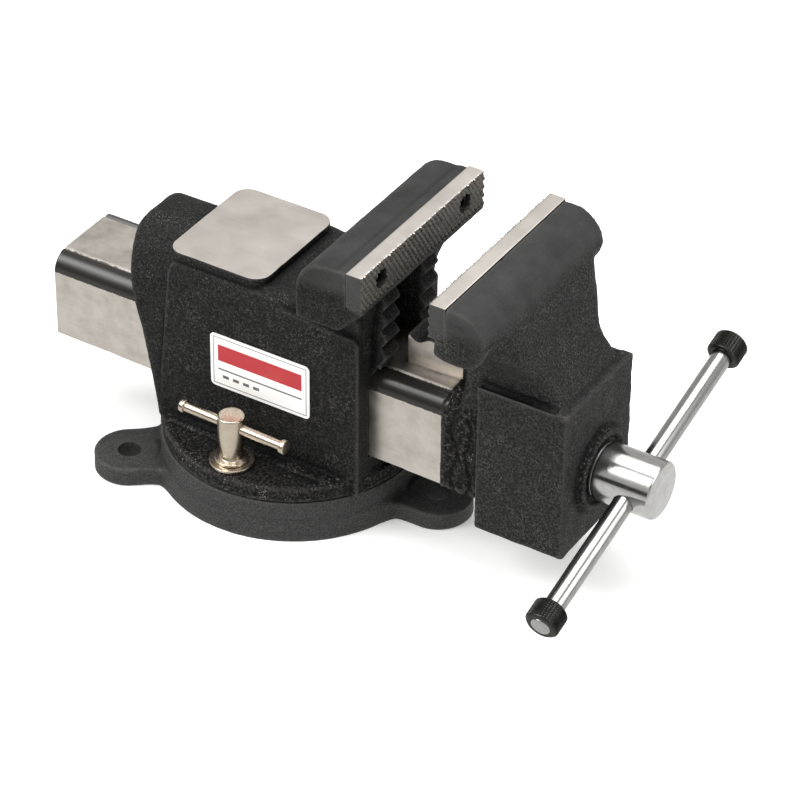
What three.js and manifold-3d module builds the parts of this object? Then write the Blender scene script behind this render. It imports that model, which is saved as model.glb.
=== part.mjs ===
// Bench vise on a swivel base, as an assembly of separate solids.
// Millimetres, +Z up. The origin is on the swivel axis at the underside of the base.
// The sliding beam and the main screw run along +X, towards the handle.
import * as THREE from "three";
import { ConvexGeometry } from "three/addons/geometries/ConvexGeometry.js";
import { mergeVertices } from "three/addons/utils/BufferGeometryUtils.js";
import Module from "manifold-3d";

const wasm = await Module();
wasm.setup();

// ---------- driving dimensions ----------

const GAP = 0.3; // clearance between touching pieces
const FINE = 16; // sides of small round pieces
const ROUND = 32; // sides of middle-sized round pieces
const BROAD = 60; // sides of the base

const JAW = { width: 150, top: 225.7, insertHeight: 25, insertThick: 12.5 };
const FACE = { fixed: 101, moving: 148.7 }; // the gripping faces of the two jaw plates
const JAW_BAR = { radius: 23, sunk: 1 };
const JAW_SCREW = { y: 51, headRadius: 6.5, headDepth: 6, shankRadius: 4, length: 28, sunk: 3.2 };
const JAW_SCREW_Z = JAW.top - JAW.insertHeight / 2;
const KEY = { radius: 3.4, depth: 3.5 }; // hexagon socket of a jaw screw
const SCREW_AXIS_Z = 85.2;

const BASE = { bottomRadius: 95, topRadius: 90.4, height: 28.2 };
const EAR = { holeCircle: 112.8, radius: 24.2, height: 13.7, holeRadius: 8, angles: [1.2, 109.4, 217.6] };
const SLOT = { radius: 72, half: 7.6, undercutHalf: 13, floor: 9, ceiling: 18 };
const SPIGOT = { radius: 20, bottom: 17 };
const NUT_ENTRY = { angle: 163, radius: 13 };

const SKIRT = { radius: 90, top: 40 };
const TOWER = { halfWidth: 50, shoulderHalf: 46, frontX: 82 };
const ANVIL = { x0: -70.2, x1: 4.8, half: 45.4, corner: 11, root: 150, top: 171.3 };
const HOOD = { half: 47, springZ: 110, top: 174 };

const BEAM = { half: 36, top: 123.7, corner: 13.5, rearX: -171, rearZ: 60.6, frontZ: 55.2 };
const CHANNEL = { half: 22, ceiling: 111.7 }; // the hollow under the beam
const CAST_NECK = { x0: 139, grow: 1 }; // the rough collar that the machining leaves in front
const TUNNEL = { clearance: 0.4, floor: 54.7 };
const BLOCK = { x0: 166.7, x1: 233.3, half: 43, bottom: 36.2, top: 150.5, wall: 11.3 };
const BOSS = { radius: 28, height: 3 };

const RIB = { inner: 15, outer: 32, rootX: 70, tipX: 93, valleyX: 88.2, pitch: 13.8, topTipZ: 177, teeth: 4 };
const RIB_RELIEF = { x0: 83, x1: 110, z0: 119.5, z1: 126 }; // lets the cast neck pass under the ribs
const HORN = { half: 12, arcX: 104, arcZ: 192, valley: 46, tip: 50, steps: 10, footX: 96.5, backX: 160 };
const HORN_SLOT = { x0: 48, x1: 110, half: 15, z0: 115, z1: 178 };

const SPINDLE = { rearX: -150, threadX: 150, threadRadius: 12, shankRadius: 14, headRadius: 20, tipX: 281 };
const THRUST_WASHER = { radius: 19, thick: 2 };
const COLLAR = { x0: 213.5, x1: 221.7, radius: 22, pinRadius: 3, pinHalf: 20 };
const NUT = { x0: -20, x1: 30, radius: 21, flangeX0: -42, flangeX1: 48, flangeHalf: 20, flangeTop: 67 };
const NUT_BOLT = { xs: [-33, 39], shank: 5, head: 8.5, headBottom: 29.4, headTop: 36, top: 66 };

const HANDLE = { x: 263, tilt: 15.85, radius: 7, half: 130, offset: 2.2, capRadius: 11.6, capLength: 16 };
const LOCK = { x: -3, y: 72, shank: 6.5, flange: 11.5, waist: 8, head: 9.3, bottom: 9.7, top: 78.5 };
const LOCK_BAR = { z: 70, radius: 3.5, endRadius: 5.2, endLength: 5, half: 42.4, offset: 2.1, angle: -2.1 };
const LOCK_WASHER = { radius: 15.3, thick: 2.4 };
const LOCK_NUT = { half: 11, bottom: 9.5, top: 17.4 };
const LABEL = { x0: -33, x1: 45, z0: 80, z1: 122, corner: 3.5, thick: 0.6 };

// ---------- finishes ----------

const finish = (color, roughness, metalness) =>
  new THREE.MeshStandardMaterial({ color, roughness, metalness });
const COATED_IRON = finish(0x3a3a3b, 0.75, 0.1);
const JAW_STEEL = finish(0xa8a5a0, 0.4, 0.9);
const CHROME = finish(0xd8d8d8, 0.15, 1);
const NICKEL = finish(0xcfc4b4, 0.3, 1);
const BLACK_STEEL = finish(0x2b2b2c, 0.5, 0.7);
const BARE_IRON = finish(0x6b6763, 0.6, 0.8);
const ZINC = finish(0xbfc2c4, 0.35, 0.9);
const LABEL_FACE = finish(0xf2f0ee, 0.4, 0);

// ---------- solids ----------

// Turns a closed three.js geometry into a solid whose faces point out.
function solid(geometry) {
  const bare = new THREE.BufferGeometry();
  bare.setAttribute("position", geometry.getAttribute("position"));
  if (geometry.index) bare.setIndex(geometry.index);
  const merged = mergeVertices(bare, 1e-4);
  const index = merged.index.array;
  const corners = [];
  for (let i = 0; i < index.length; i += 3) {
    const [a, b, c] = [index[i], index[i + 1], index[i + 2]];
    if (a !== b && b !== c && c !== a) corners.push(a, b, c);
  }
  const build = (list) =>
    new wasm.Manifold(
      new wasm.Mesh({
        numProp: 3,
        vertProperties: merged.attributes.position.array,
        triVerts: new Uint32Array(list),
      }),
    );
  const made = build(corners);
  return made.volume() < 0 ? build(corners.reverse()) : made;
}

// Turns a solid back into a named mesh with flat faces.
function mesh(name, shape, material) {
  const { numProp, vertProperties, triVerts } = shape.getMesh();
  const points = new Float32Array((vertProperties.length / numProp) * 3);
  for (let i = 0; i < points.length / 3; i++) {
    points.set(vertProperties.subarray(i * numProp, i * numProp + 3), i * 3);
  }
  const geometry = new THREE.BufferGeometry();
  geometry.setAttribute("position", new THREE.BufferAttribute(points, 3));
  geometry.setIndex(new THREE.BufferAttribute(triVerts, 1));
  geometry.computeVertexNormals();
  const made = new THREE.Mesh(geometry, material);
  made.name = name;
  return made;
}

const join = (...shapes) => shapes.reduce((whole, next) => whole.add(next));
const cut = (whole, ...tools) => tools.reduce((left, tool) => left.subtract(tool), whole);
const bothSides = (make) => [make(-1), make(1)];

// Maps a profile's own axes to two world axes, and its depth to the third.
const ALONG_X = new THREE.Matrix4().makeBasis(
  new THREE.Vector3(0, 1, 0),
  new THREE.Vector3(0, 0, 1),
  new THREE.Vector3(1, 0, 0),
);
const ALONG_Y = new THREE.Matrix4().makeBasis(
  new THREE.Vector3(1, 0, 0),
  new THREE.Vector3(0, 0, 1),
  new THREE.Vector3(0, -1, 0),
);
const ALONG_Z = new THREE.Matrix4();

const outline = (points) => new THREE.Shape(points.map(([u, v]) => new THREE.Vector2(u, v)));

function prism(shape, depth, axes, curveSegments = 8) {
  const geometry = new THREE.ExtrudeGeometry(shape, { depth, bevelEnabled: false, curveSegments });
  return geometry.applyMatrix4(axes);
}
const prismX = (shape, x0, x1, steps) => solid(prism(shape, x1 - x0, ALONG_X, steps).translate(x0, 0, 0));
const prismY = (shape, y0, y1, steps) => solid(prism(shape, y1 - y0, ALONG_Y, steps).translate(0, y1, 0));
const prismZ = (shape, z0, z1, steps) => solid(prism(shape, z1 - z0, ALONG_Z, steps).translate(0, 0, z0));

function box(x0, x1, y0, y1, z0, z1) {
  const geometry = new THREE.BoxGeometry(x1 - x0, y1 - y0, z1 - z0);
  return solid(geometry.translate((x0 + x1) / 2, (y0 + y1) / 2, (z0 + z1) / 2));
}

function rodX(radius, x0, x1, y, z, sides = FINE) {
  const geometry = new THREE.CylinderGeometry(radius, radius, x1 - x0, sides).rotateZ(-Math.PI / 2);
  return solid(geometry.translate((x0 + x1) / 2, y, z));
}

function rodY(radius, y0, y1, x, z, sides = FINE) {
  const geometry = new THREE.CylinderGeometry(radius, radius, y1 - y0, sides);
  return solid(geometry.translate(x, (y0 + y1) / 2, z));
}

function rodZ(radius, z0, z1, x, y, sides = FINE) {
  const geometry = new THREE.CylinderGeometry(radius, radius, z1 - z0, sides).rotateX(Math.PI / 2);
  return solid(geometry.translate(x, y, (z0 + z1) / 2));
}

// A turned piece about Z from (radius, height) pairs.
function turned(points, sides = ROUND) {
  const profile = points.map(([r, z]) => new THREE.Vector2(r, z));
  return solid(new THREE.LatheGeometry(profile, sides).rotateX(Math.PI / 2));
}

// A closed ring of rectangular section about Z.
const ring = (inner, outer, z0, z1, sides = ROUND) =>
  turned([[inner, z0], [outer, z0], [outer, z1], [inner, z1], [inner, z0]], sides);

const hull = (points) => solid(new ConvexGeometry(points.map((p) => new THREE.Vector3(...p))));

function roundedRectangle(x0, x1, y0, y1, r) {
  const shape = new THREE.Shape();
  shape.moveTo(x0 + r, y0);
  shape.absarc(x1 - r, y0 + r, r, -Math.PI / 2, 0);
  shape.absarc(x1 - r, y1 - r, r, 0, Math.PI / 2);
  shape.absarc(x0 + r, y1 - r, r, Math.PI / 2, Math.PI);
  shape.absarc(x0 + r, y0 + r, r, Math.PI, 1.5 * Math.PI);
  return shape;
}

// ---------- base ----------

function earOutline() {
  const shape = new THREE.Shape();
  const flare = EAR.radius + 16;
  const start = BASE.topRadius - 18;
  shape.moveTo(40, -flare);
  shape.lineTo(start, -flare);
  shape.quadraticCurveTo(BASE.topRadius, -EAR.radius, EAR.holeCircle, -EAR.radius);
  shape.absarc(EAR.holeCircle, 0, EAR.radius, -Math.PI / 2, Math.PI / 2);
  shape.quadraticCurveTo(BASE.topRadius, EAR.radius, start, flare);
  shape.lineTo(40, flare);
  return shape;
}

function basePlate() {
  const { bottomRadius, topRadius, height } = BASE;
  let plate = turned([[0, 0], [bottomRadius, 0], [topRadius, height], [0, height]], BROAD);
  for (const degrees of EAR.angles) {
    const turn = [0, 0, degrees];
    plate = plate.add(prismZ(earOutline(), 0, EAR.height, 10).rotate(turn));
    plate = plate.subtract(rodZ(EAR.holeRadius, -1, height, EAR.holeCircle, 0).rotate(turn));
  }
  const { radius, half, undercutHalf, floor, ceiling } = SLOT;
  return cut(
    plate,
    ring(radius - half, radius + half, ceiling - 1, height + 1),
    ring(radius - undercutHalf, radius + undercutHalf, floor, ceiling),
    rodZ(SPIGOT.radius + 0.4, SPIGOT.bottom - 0.5, height + 1, 0, 0, ROUND),
    rodZ(NUT_ENTRY.radius, -1, floor + 1, radius, 0).rotate([0, 0, NUT_ENTRY.angle]),
  );
}

// ---------- swivel body with the fixed jaw ----------

// The beam's cross-section, grown by a clearance.
function beamSection(bottom, grow) {
  const { half, top, corner } = BEAM;
  const shape = new THREE.Shape();
  shape.moveTo(-half - grow, bottom);
  shape.lineTo(half + grow, bottom);
  shape.absarc(half - corner, top - corner, corner + grow, 0, Math.PI / 2);
  shape.absarc(corner - half, top - corner, corner + grow, Math.PI / 2, Math.PI);
  return shape;
}

function hood() {
  const { half, springZ, top } = HOOD;
  const side = outline([
    [-60, SKIRT.top - 5],
    [-60, 165],
    [-71, 170],
    [-80, top],
    [-99, top],
    [-107, 170],
    [-109.5, 161],
    [-103, 135],
    [-92, 100],
    [-83, 60],
    [-78, SKIRT.top - 5],
  ]);
  const arch = new THREE.Shape();
  arch.moveTo(-half - 3.5, SKIRT.top - 6);
  arch.lineTo(half + 3.5, SKIRT.top - 6);
  arch.absellipse(0, springZ, half, top - springZ, 0, Math.PI);
  return prismY(side, -60, 60).intersect(prismX(arch, -120, 0, 12));
}

function tower() {
  const side = outline([
    [-76, SKIRT.top - 6],
    [TOWER.frontX, SKIRT.top - 6],
    [TOWER.frontX, 152],
    [78, 156],
    [30, 158],
    [0, 163.5],
    [-66, 163.5],
    [-75, 74],
  ]);
  const { halfWidth, shoulderHalf } = TOWER;
  const front = outline([
    [-halfWidth, SKIRT.top - 7],
    [halfWidth, SKIRT.top - 7],
    [halfWidth, 156],
    [shoulderHalf, 164],
    [-shoulderHalf, 164],
    [-halfWidth, 156],
  ]);
  return prismY(side, -60, 60).intersect(prismX(front, -90, 95));
}

function anvil() {
  const { x0, x1, half, corner, root, top } = ANVIL;
  return prismZ(roundedRectangle(x0, x1, -half, half, corner), root, top);
}

// The flared neck between the tower and the fixed jaw.
function neck() {
  const saddle = outline([
    [0, 150],
    [0, 166],
    [14, 166.5],
    [34, 172],
    [48, 182],
    [56, 196],
    [62, 212],
    [86, 212],
    [86, 185],
    [TOWER.frontX, 150],
  ]);
  const flare = hull(
    bothSides((s) => [
      [10, s * 46, 150],
      [TOWER.frontX, s * 49.5, 148],
      [12, s * 42, 165],
      [50.5, s * 74.5, 196],
      [58, s * 74.5, 184],
      [84, s * 74.5, 183],
      [60, s * 74.5, 200],
      [88, s * 74.5, 200],
    ]).flat(),
  );
  return prismY(saddle, -44, 44).add(flare);
}

function fixedJawBar() {
  const { top, insertHeight, insertThick, width } = JAW;
  const { radius, sunk } = JAW_BAR;
  const seatX = FACE.fixed - insertThick - GAP;
  const seatZ = top - insertHeight - GAP;
  const crown = top - sunk;
  const centreX = 73;
  const shape = new THREE.Shape();
  shape.moveTo(seatX, crown);
  shape.lineTo(centreX, crown);
  shape.absarc(centreX, crown - radius, radius, Math.PI / 2, 1.5 * Math.PI);
  shape.lineTo(86, 183);
  shape.lineTo(FACE.fixed - 0.5, seatZ - 3);
  shape.lineTo(FACE.fixed - 0.5, seatZ);
  shape.lineTo(seatX, seatZ);
  return prismY(shape, -width / 2, width / 2, 10);
}

// One of the two upright toothed ribs that grip a pipe below the jaws.
function pipeRib(side) {
  const { inner, outer, rootX, tipX, valleyX, pitch, topTipZ, teeth } = RIB;
  const flat = 1.8;
  const foot = 120;
  const crown = topTipZ + pitch / 2;
  const edge = [[rootX, foot], [valleyX, foot]];
  for (let i = teeth - 1; i >= 0; i--) {
    const z = topTipZ - i * pitch;
    edge.push([tipX, z - flat], [tipX, z + flat], [valleyX, z + pitch / 2]);
  }
  edge.push([rootX, crown]);
  const [y0, y1] = side < 0 ? [-outer, -inner] : [inner, outer];
  return prismY(outline(edge), y0, y1);
}

function swivelBody() {
  const { radius, top } = SKIRT;
  const bottom = BASE.height + GAP;
  const rim = 3;
  const profile = [[0, bottom], [radius, bottom], [radius, top - rim], [radius - rim, top], [0, top]];
  const whole = join(
    turned(profile, BROAD),
    rodZ(SPIGOT.radius, SPIGOT.bottom, bottom + 1, 0, 0, ROUND),
    tower(),
    hood(),
    anvil(),
    neck(),
    fixedJawBar(),
    ...bothSides(pipeRib),
  );
  const slot = HORN_SLOT;
  const relief = RIB_RELIEF;
  return cut(
    whole,
    prismX(beamSection(TUNNEL.floor, TUNNEL.clearance), -130, 110),
    box(slot.x0, slot.x1, -slot.half, slot.half, slot.z0, slot.z1),
    box(relief.x0, relief.x1, -RIB.outer - 1, RIB.outer + 1, relief.z0, relief.z1),
    ...bothSides((s) => rodX(JAW_SCREW.shankRadius + GAP, 70, 95, s * JAW_SCREW.y, JAW_SCREW_Z)),
    ...bothSides((s) => rodZ(LOCK.shank + 0.5, bottom - 1, top + 1, LOCK.x, s * LOCK.y)),
    ...NUT_BOLT.xs.map((x) => rodZ(NUT_BOLT.shank + 0.4, bottom - 1, TUNNEL.floor + 1, x, 0)),
    ...NUT_BOLT.xs.map((x) => rodZ(NUT_BOLT.head + 1, bottom - 1, NUT_BOLT.headTop + GAP, x, 0)),
  );
}

// ---------- moving jaw with its beam ----------

function beam() {
  const { half, top, rearX, rearZ, frontZ } = BEAM;
  const frontX = BLOCK.x0 + 10;
  const side = outline([[rearX, rearZ], [frontX, frontZ], [frontX, top + 5], [rearX, top + 5]]);
  const bar = prismX(beamSection(40, 0), rearX, frontX).intersect(prismY(side, -half - 5, half + 5));
  return bar.subtract(channel(rearX - 1, frontX + 1));
}

const channel = (x0, x1) => box(x0, x1, -CHANNEL.half, CHANNEL.half, BLOCK.bottom - 1, CHANNEL.ceiling);

// The as-cast collar where the beam grows out of the front block.
function castNeck() {
  const { x0, grow } = CAST_NECK;
  return prismX(beamSection(BEAM.frontZ, grow), x0, BLOCK.x0 + 5).subtract(channel(x0 - 1, BLOCK.x0 + 6));
}

function frontBlock() {
  const { x0, x1, half, bottom, top, wall } = BLOCK;
  const shell = box(x0, x1, -half, half, bottom, top);
  const boss = rodX(BOSS.radius, x1 - 1, x1 + BOSS.height, 0, SCREW_AXIS_Z, ROUND);
  const hollow = box(x0 - 20, x1 - wall, wall - half, half - wall, bottom - 1, CHANNEL.ceiling);
  return shell.add(boss).subtract(hollow);
}

function jawTower() {
  const rise = outline([
    [146, 118],
    [152, 140],
    [153, 189],
    [162, 200],
    [166, 222],
    [188, 214],
    [197, 203],
    [201, 193],
    [205, 184],
    [210, 174],
    [218, 162],
    [226, 152],
    [231, 149],
    [231, 118],
  ]);
  const flare = hull(
    bothSides((s) => [
      [154, s * 37, 150],
      [222, s * 37, 148],
      [154, s * 74.5, 190],
      [186, s * 74.5, 190],
      [190, s * 74.5, 200],
      [162, s * 74.5, 200],
      [201, s * 38, 192],
      [197, s * 42, 203],
    ]).flat(),
  );
  return prismY(rise, -37, 37).add(flare.intersect(prismY(rise, -80, 80)));
}

function movingJawBar() {
  const { top, insertHeight, insertThick, width } = JAW;
  const { radius, sunk } = JAW_BAR;
  const seatX = FACE.moving + insertThick + GAP;
  const seatZ = top - insertHeight - GAP;
  const crown = top - sunk;
  const centreX = 168;
  const shape = new THREE.Shape();
  shape.moveTo(seatX, crown);
  shape.lineTo(centreX, crown);
  shape.absarc(centreX, crown - radius, radius, Math.PI / 2, -Math.PI / 6, true);
  shape.lineTo(FACE.moving + 5, 189);
  shape.lineTo(FACE.moving + 5, seatZ);
  shape.lineTo(seatX, seatZ);
  return prismY(shape, -width / 2, width / 2, 10);
}

// The toothed horn that passes between the two ribs of the fixed jaw.
function pipeHorn() {
  const { half, arcX, arcZ, valley, tip, steps, footX, backX } = HORN;
  const foot = BEAM.top - 2;
  const [start, sweep] = [-0.06, 1.58];
  const edge = [[backX, foot], [backX, arcZ]];
  for (let i = 0; i <= steps; i++) {
    const angle = start - (i / steps) * sweep;
    const reach = i % 2 ? valley : tip;
    edge.push([arcX + reach * Math.cos(angle), arcZ + reach * Math.sin(angle)]);
  }
  edge.push([footX, foot]);
  return prismY(outline(edge), -half, half);
}

function movingJaw() {
  const whole = join(beam(), castNeck(), frontBlock(), jawTower(), movingJawBar(), pipeHorn());
  const seatX = FACE.moving + JAW.insertThick;
  const screwHole = (side) =>
    rodX(JAW_SCREW.shankRadius + GAP, seatX - 1, seatX + 17, side * JAW_SCREW.y, JAW_SCREW_Z);
  return cut(
    whole,
    rodX(SPINDLE.shankRadius + 0.4, BLOCK.x1 - 20, BLOCK.x1 + 10, 0, SCREW_AXIS_Z),
    ...bothSides(screwHole),
  );
}

// ---------- jaw plates and their screws ----------

// A hardened plate whose gripping face looks along `facing` (+1 or -1 in X).
function jawPlate(faceX, facing) {
  const { width, top, insertHeight, insertThick } = JAW;
  const backX = faceX - facing * insertThick;
  const [x0, x1] = [Math.min(faceX, backX), Math.max(faceX, backX)];
  const z = JAW_SCREW_Z;
  const sinkX = faceX - facing * (JAW_SCREW.sunk + JAW_SCREW.headDepth + GAP);
  const [s0, s1] = [Math.min(sinkX, faceX + facing), Math.max(sinkX, faceX + facing)];
  return cut(
    box(x0, x1, -width / 2, width / 2, top - insertHeight, top),
    ...bothSides((s) => rodX(JAW_SCREW.shankRadius + GAP, x0 - 1, x1 + 1, s * JAW_SCREW.y, z)),
    ...bothSides((s) => rodX(JAW_SCREW.headRadius + GAP, s0, s1, s * JAW_SCREW.y, z)),
  );
}

// A socket-head screw with its head sunk below the gripping face.
function jawScrew(faceX, facing, side) {
  const { y, headRadius, headDepth, shankRadius, length, sunk } = JAW_SCREW;
  const span = (a, b) => [faceX + facing * a, faceX + facing * b].sort((p, q) => p - q);
  const rod = (radius, a, b, sides) => rodX(radius, ...span(a, b), side * y, JAW_SCREW_Z, sides);
  const head = rod(headRadius, -sunk - headDepth, -sunk, FINE);
  const shank = rod(shankRadius, -length, -sunk - 1, FINE);
  return cut(join(head, shank), rod(KEY.radius, -sunk - KEY.depth, 1, 6));
}

// ---------- main screw, its nut and its retainers ----------

// Tilts a piece that is built along Y about the screw's axis to the handle's rest angle.
const tiltToHandle = (shape) =>
  shape.translate([0, 0, -SCREW_AXIS_Z]).rotate([HANDLE.tilt, 0, 0]).translate([0, 0, SCREW_AXIS_Z]);

function spindle() {
  const { rearX, threadX, threadRadius, shankRadius, headRadius, tipX } = SPINDLE;
  const headX = BLOCK.x1 + BOSS.height + THRUST_WASHER.thick + 2 * GAP;
  const profile = [
    [0, rearX],
    [threadRadius - 2, rearX],
    [threadRadius, rearX + 2],
    [threadRadius, threadX],
    [shankRadius, threadX + 2],
    [shankRadius, headX],
    [headRadius - 1, headX],
    [headRadius, headX + 1],
    [headRadius, tipX - 2],
    [headRadius - 2, tipX],
    [0, tipX],
  ];
  const bar = turned(profile).rotate([0, 90, 0]).translate([0, 0, SCREW_AXIS_Z]);
  const crossHole = tiltToHandle(rodY(HANDLE.radius + GAP, -40, 40, HANDLE.x, SCREW_AXIS_Z));
  const pinHole = rodY(COLLAR.pinRadius + GAP, -40, 40, (COLLAR.x0 + COLLAR.x1) / 2, SCREW_AXIS_Z);
  return cut(bar, crossHole, pinHole);
}

function thrustWasher() {
  const x0 = BLOCK.x1 + BOSS.height + GAP;
  const outer = rodX(THRUST_WASHER.radius, x0, x0 + THRUST_WASHER.thick, 0, SCREW_AXIS_Z, ROUND);
  return outer.subtract(rodX(SPINDLE.shankRadius + 0.4, x0 - 1, x0 + 5, 0, SCREW_AXIS_Z));
}

function retainingCollar() {
  const { x0, x1, radius, pinRadius } = COLLAR;
  return cut(
    rodX(radius, x0, x1, 0, SCREW_AXIS_Z, ROUND),
    rodX(SPINDLE.shankRadius + GAP, x0 - 1, x1 + 1, 0, SCREW_AXIS_Z),
    rodY(pinRadius + GAP, -40, 40, (x0 + x1) / 2, SCREW_AXIS_Z),
  );
}

function collarPin() {
  const { x0, x1, pinRadius, pinHalf } = COLLAR;
  return rodY(pinRadius, -pinHalf, pinHalf, (x0 + x1) / 2, SCREW_AXIS_Z);
}

function spindleNut() {
  const { x0, x1, radius, flangeX0, flangeX1, flangeHalf, flangeTop } = NUT;
  const foot = TUNNEL.floor + GAP;
  return cut(
    join(
      rodX(radius, x0, x1, 0, SCREW_AXIS_Z, ROUND),
      box(x0, x1, -radius + 4, radius - 4, foot, SCREW_AXIS_Z),
      box(flangeX0, flangeX1, -flangeHalf, flangeHalf, foot, flangeTop),
    ),
    rodX(SPINDLE.threadRadius + 0.5, flangeX0 - 1, flangeX1 + 1, 0, SCREW_AXIS_Z),
    ...NUT_BOLT.xs.map((x) => rodZ(NUT_BOLT.shank + GAP, foot - 1, flangeTop + 1, x, 0)),
  );
}

function nutBolt(x) {
  const { shank, head, headBottom, headTop, top } = NUT_BOLT;
  return rodZ(head, headBottom, headTop, x, 0, 6).add(rodZ(shank, headTop - 1, top, x, 0));
}

// ---------- handle ----------

function handleBar() {
  const { x, radius, half, offset } = HANDLE;
  return tiltToHandle(rodY(radius, offset - half, offset + half, x, SCREW_AXIS_Z));
}

function handleCap(side) {
  const { x, radius, half, offset, capRadius, capLength } = HANDLE;
  const tip = offset + side * (half - 0.5);
  const root = tip - side * capLength;
  const [y0, y1] = [Math.min(tip, root), Math.max(tip, root)];
  const bevel = 1.5;
  const profile = [
    [radius + GAP, y0],
    [capRadius - bevel, y0],
    [capRadius, y0 + bevel],
    [capRadius, y1 - bevel],
    [capRadius - bevel, y1],
    [radius + GAP, y1],
    [radius + GAP, y0],
  ];
  const cap = turned(profile, FINE).rotate([-90, 0, 0]).translate([x, 0, SCREW_AXIS_Z]);
  return tiltToHandle(cap);
}

// ---------- swivel locks ----------

// Each lock piece is built about its own bolt's axis; the far one is turned half a turn there.
function placeLock(shape, side) {
  const turn = side < 0 ? 0 : 180;
  return shape.rotate([0, 0, turn]).translate([LOCK.x, side * LOCK.y, 0]);
}

function lockBolt(side) {
  const { shank, flange, waist, head, bottom, top } = LOCK;
  const seat = SKIRT.top + GAP + LOCK_WASHER.thick + GAP;
  const bolt = turned(
    [
      [0, bottom],
      [shank, bottom],
      [shank, seat],
      [flange, seat],
      [flange, seat + 1.6],
      [waist, seat + 4],
      [waist, seat + 12],
      [head, seat + 22],
      [head, top - 1],
      [head - 1.2, top],
      [0, top],
    ],
    FINE,
  );
  const hole = rodX(LOCK_BAR.radius + GAP, -20, 20, 0, LOCK_BAR.z).rotate([0, 0, LOCK_BAR.angle]);
  return placeLock(bolt.subtract(hole), side);
}

function lockBar(side) {
  const { z, radius, endRadius, endLength, half, offset, angle } = LOCK_BAR;
  const profile = [
    [0, -half],
    [endRadius, -half],
    [endRadius, 1.5 - half],
    [radius, endLength - half],
    [radius, half - endLength],
    [endRadius, half - 1.5],
    [endRadius, half],
    [0, half],
  ];
  const bar = turned(profile, FINE).rotate([0, 90, 0]).translate([offset, 0, z]);
  return placeLock(bar.rotate([0, 0, angle]), side);
}

function lockWasher(side) {
  const z0 = SKIRT.top + GAP;
  const flat = ring(LOCK.shank + 0.4, LOCK_WASHER.radius, z0, z0 + LOCK_WASHER.thick, FINE);
  return placeLock(flat, side);
}

function lockNut(side) {
  const { half, bottom, top } = LOCK_NUT;
  const block = box(-half, half, -half, half, bottom, top);
  const nut = block.subtract(rodZ(LOCK.shank + GAP, bottom - 1, top + 1, 0, 0));
  return placeLock(nut, side);
}

// ---------- label ----------

function labelPlate() {
  const { x0, x1, z0, z1, corner, thick } = LABEL;
  const front = -TOWER.halfWidth - GAP;
  return prismY(roundedRectangle(x0, x1, z0, z1, corner), front - thick, front, 4);
}

// ---------- assembly ----------

const vise = new THREE.Group();

const place = (name, shape, material) => vise.add(mesh(name, shape, material));

place("base_plate", basePlate(), COATED_IRON);
place("swivel_body", swivelBody(), COATED_IRON);
place("moving_jaw", movingJaw(), COATED_IRON);
place("fixed_jaw_plate", jawPlate(FACE.fixed, 1), JAW_STEEL);
place("moving_jaw_plate", jawPlate(FACE.moving, -1), JAW_STEEL);
for (const [sideName, side] of [["near", -1], ["far", 1]]) {
  place(`fixed_jaw_screw_${sideName}`, jawScrew(FACE.fixed, 1, side), BLACK_STEEL);
  place(`moving_jaw_screw_${sideName}`, jawScrew(FACE.moving, -1, side), BLACK_STEEL);
  place(`handle_cap_${sideName}`, handleCap(side), BLACK_STEEL);
  place(`lock_bolt_${sideName}`, lockBolt(side), NICKEL);
  place(`lock_bar_${sideName}`, lockBar(side), NICKEL);
  place(`lock_washer_${sideName}`, lockWasher(side), ZINC);
  place(`lock_nut_${sideName}`, lockNut(side), BLACK_STEEL);
}
place("spindle", spindle(), CHROME);
place("thrust_washer", thrustWasher(), ZINC);
place("retaining_collar", retainingCollar(), BLACK_STEEL);
place("collar_pin", collarPin(), ZINC);
place("spindle_nut", spindleNut(), BARE_IRON);
NUT_BOLT.xs.forEach((x, i) => place(`nut_bolt_${i ? "front" : "rear"}`, nutBolt(x), BLACK_STEEL));
place("handle_bar", handleBar(), CHROME);
place("label_plate", labelPlate(), LABEL_FACE);

export default vise;
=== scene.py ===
"""Bench vise on a swivel base: the detailed visual model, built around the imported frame.

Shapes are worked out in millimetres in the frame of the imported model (origin on the swivel axis at the
underside of the base, +X towards the handle, +Z up) and turned to metres when a mesh is made.
"""

import logging
import math
from collections.abc import Callable, Iterable, Sequence
from dataclasses import dataclass, field
from enum import Enum

import bpy
import numpy as np
from mathutils import Matrix, Vector

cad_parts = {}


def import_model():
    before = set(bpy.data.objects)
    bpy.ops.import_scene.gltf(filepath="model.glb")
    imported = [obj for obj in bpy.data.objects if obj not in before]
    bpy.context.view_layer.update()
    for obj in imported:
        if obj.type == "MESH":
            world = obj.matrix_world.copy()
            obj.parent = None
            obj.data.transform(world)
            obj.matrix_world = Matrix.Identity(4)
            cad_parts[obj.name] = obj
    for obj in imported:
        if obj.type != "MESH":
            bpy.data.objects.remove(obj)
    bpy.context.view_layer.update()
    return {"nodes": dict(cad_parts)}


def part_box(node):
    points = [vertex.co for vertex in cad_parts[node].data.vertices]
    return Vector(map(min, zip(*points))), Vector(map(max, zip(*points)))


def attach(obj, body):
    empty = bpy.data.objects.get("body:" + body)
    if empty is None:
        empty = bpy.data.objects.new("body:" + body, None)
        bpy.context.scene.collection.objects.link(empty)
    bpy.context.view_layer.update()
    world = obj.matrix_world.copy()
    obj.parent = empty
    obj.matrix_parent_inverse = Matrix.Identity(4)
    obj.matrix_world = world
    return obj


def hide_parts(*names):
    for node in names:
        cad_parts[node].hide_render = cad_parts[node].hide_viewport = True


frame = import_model()

MM = 0.001
TURNED_SHARP = math.radians(32)  # a sharper edge than this on a turned piece shades as an edge
Array = np.ndarray
Field = Callable[[Array, Array, Array], Array]
Finisher = Callable[[Array, Array], Array]
log = logging.getLogger("vise")


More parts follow.
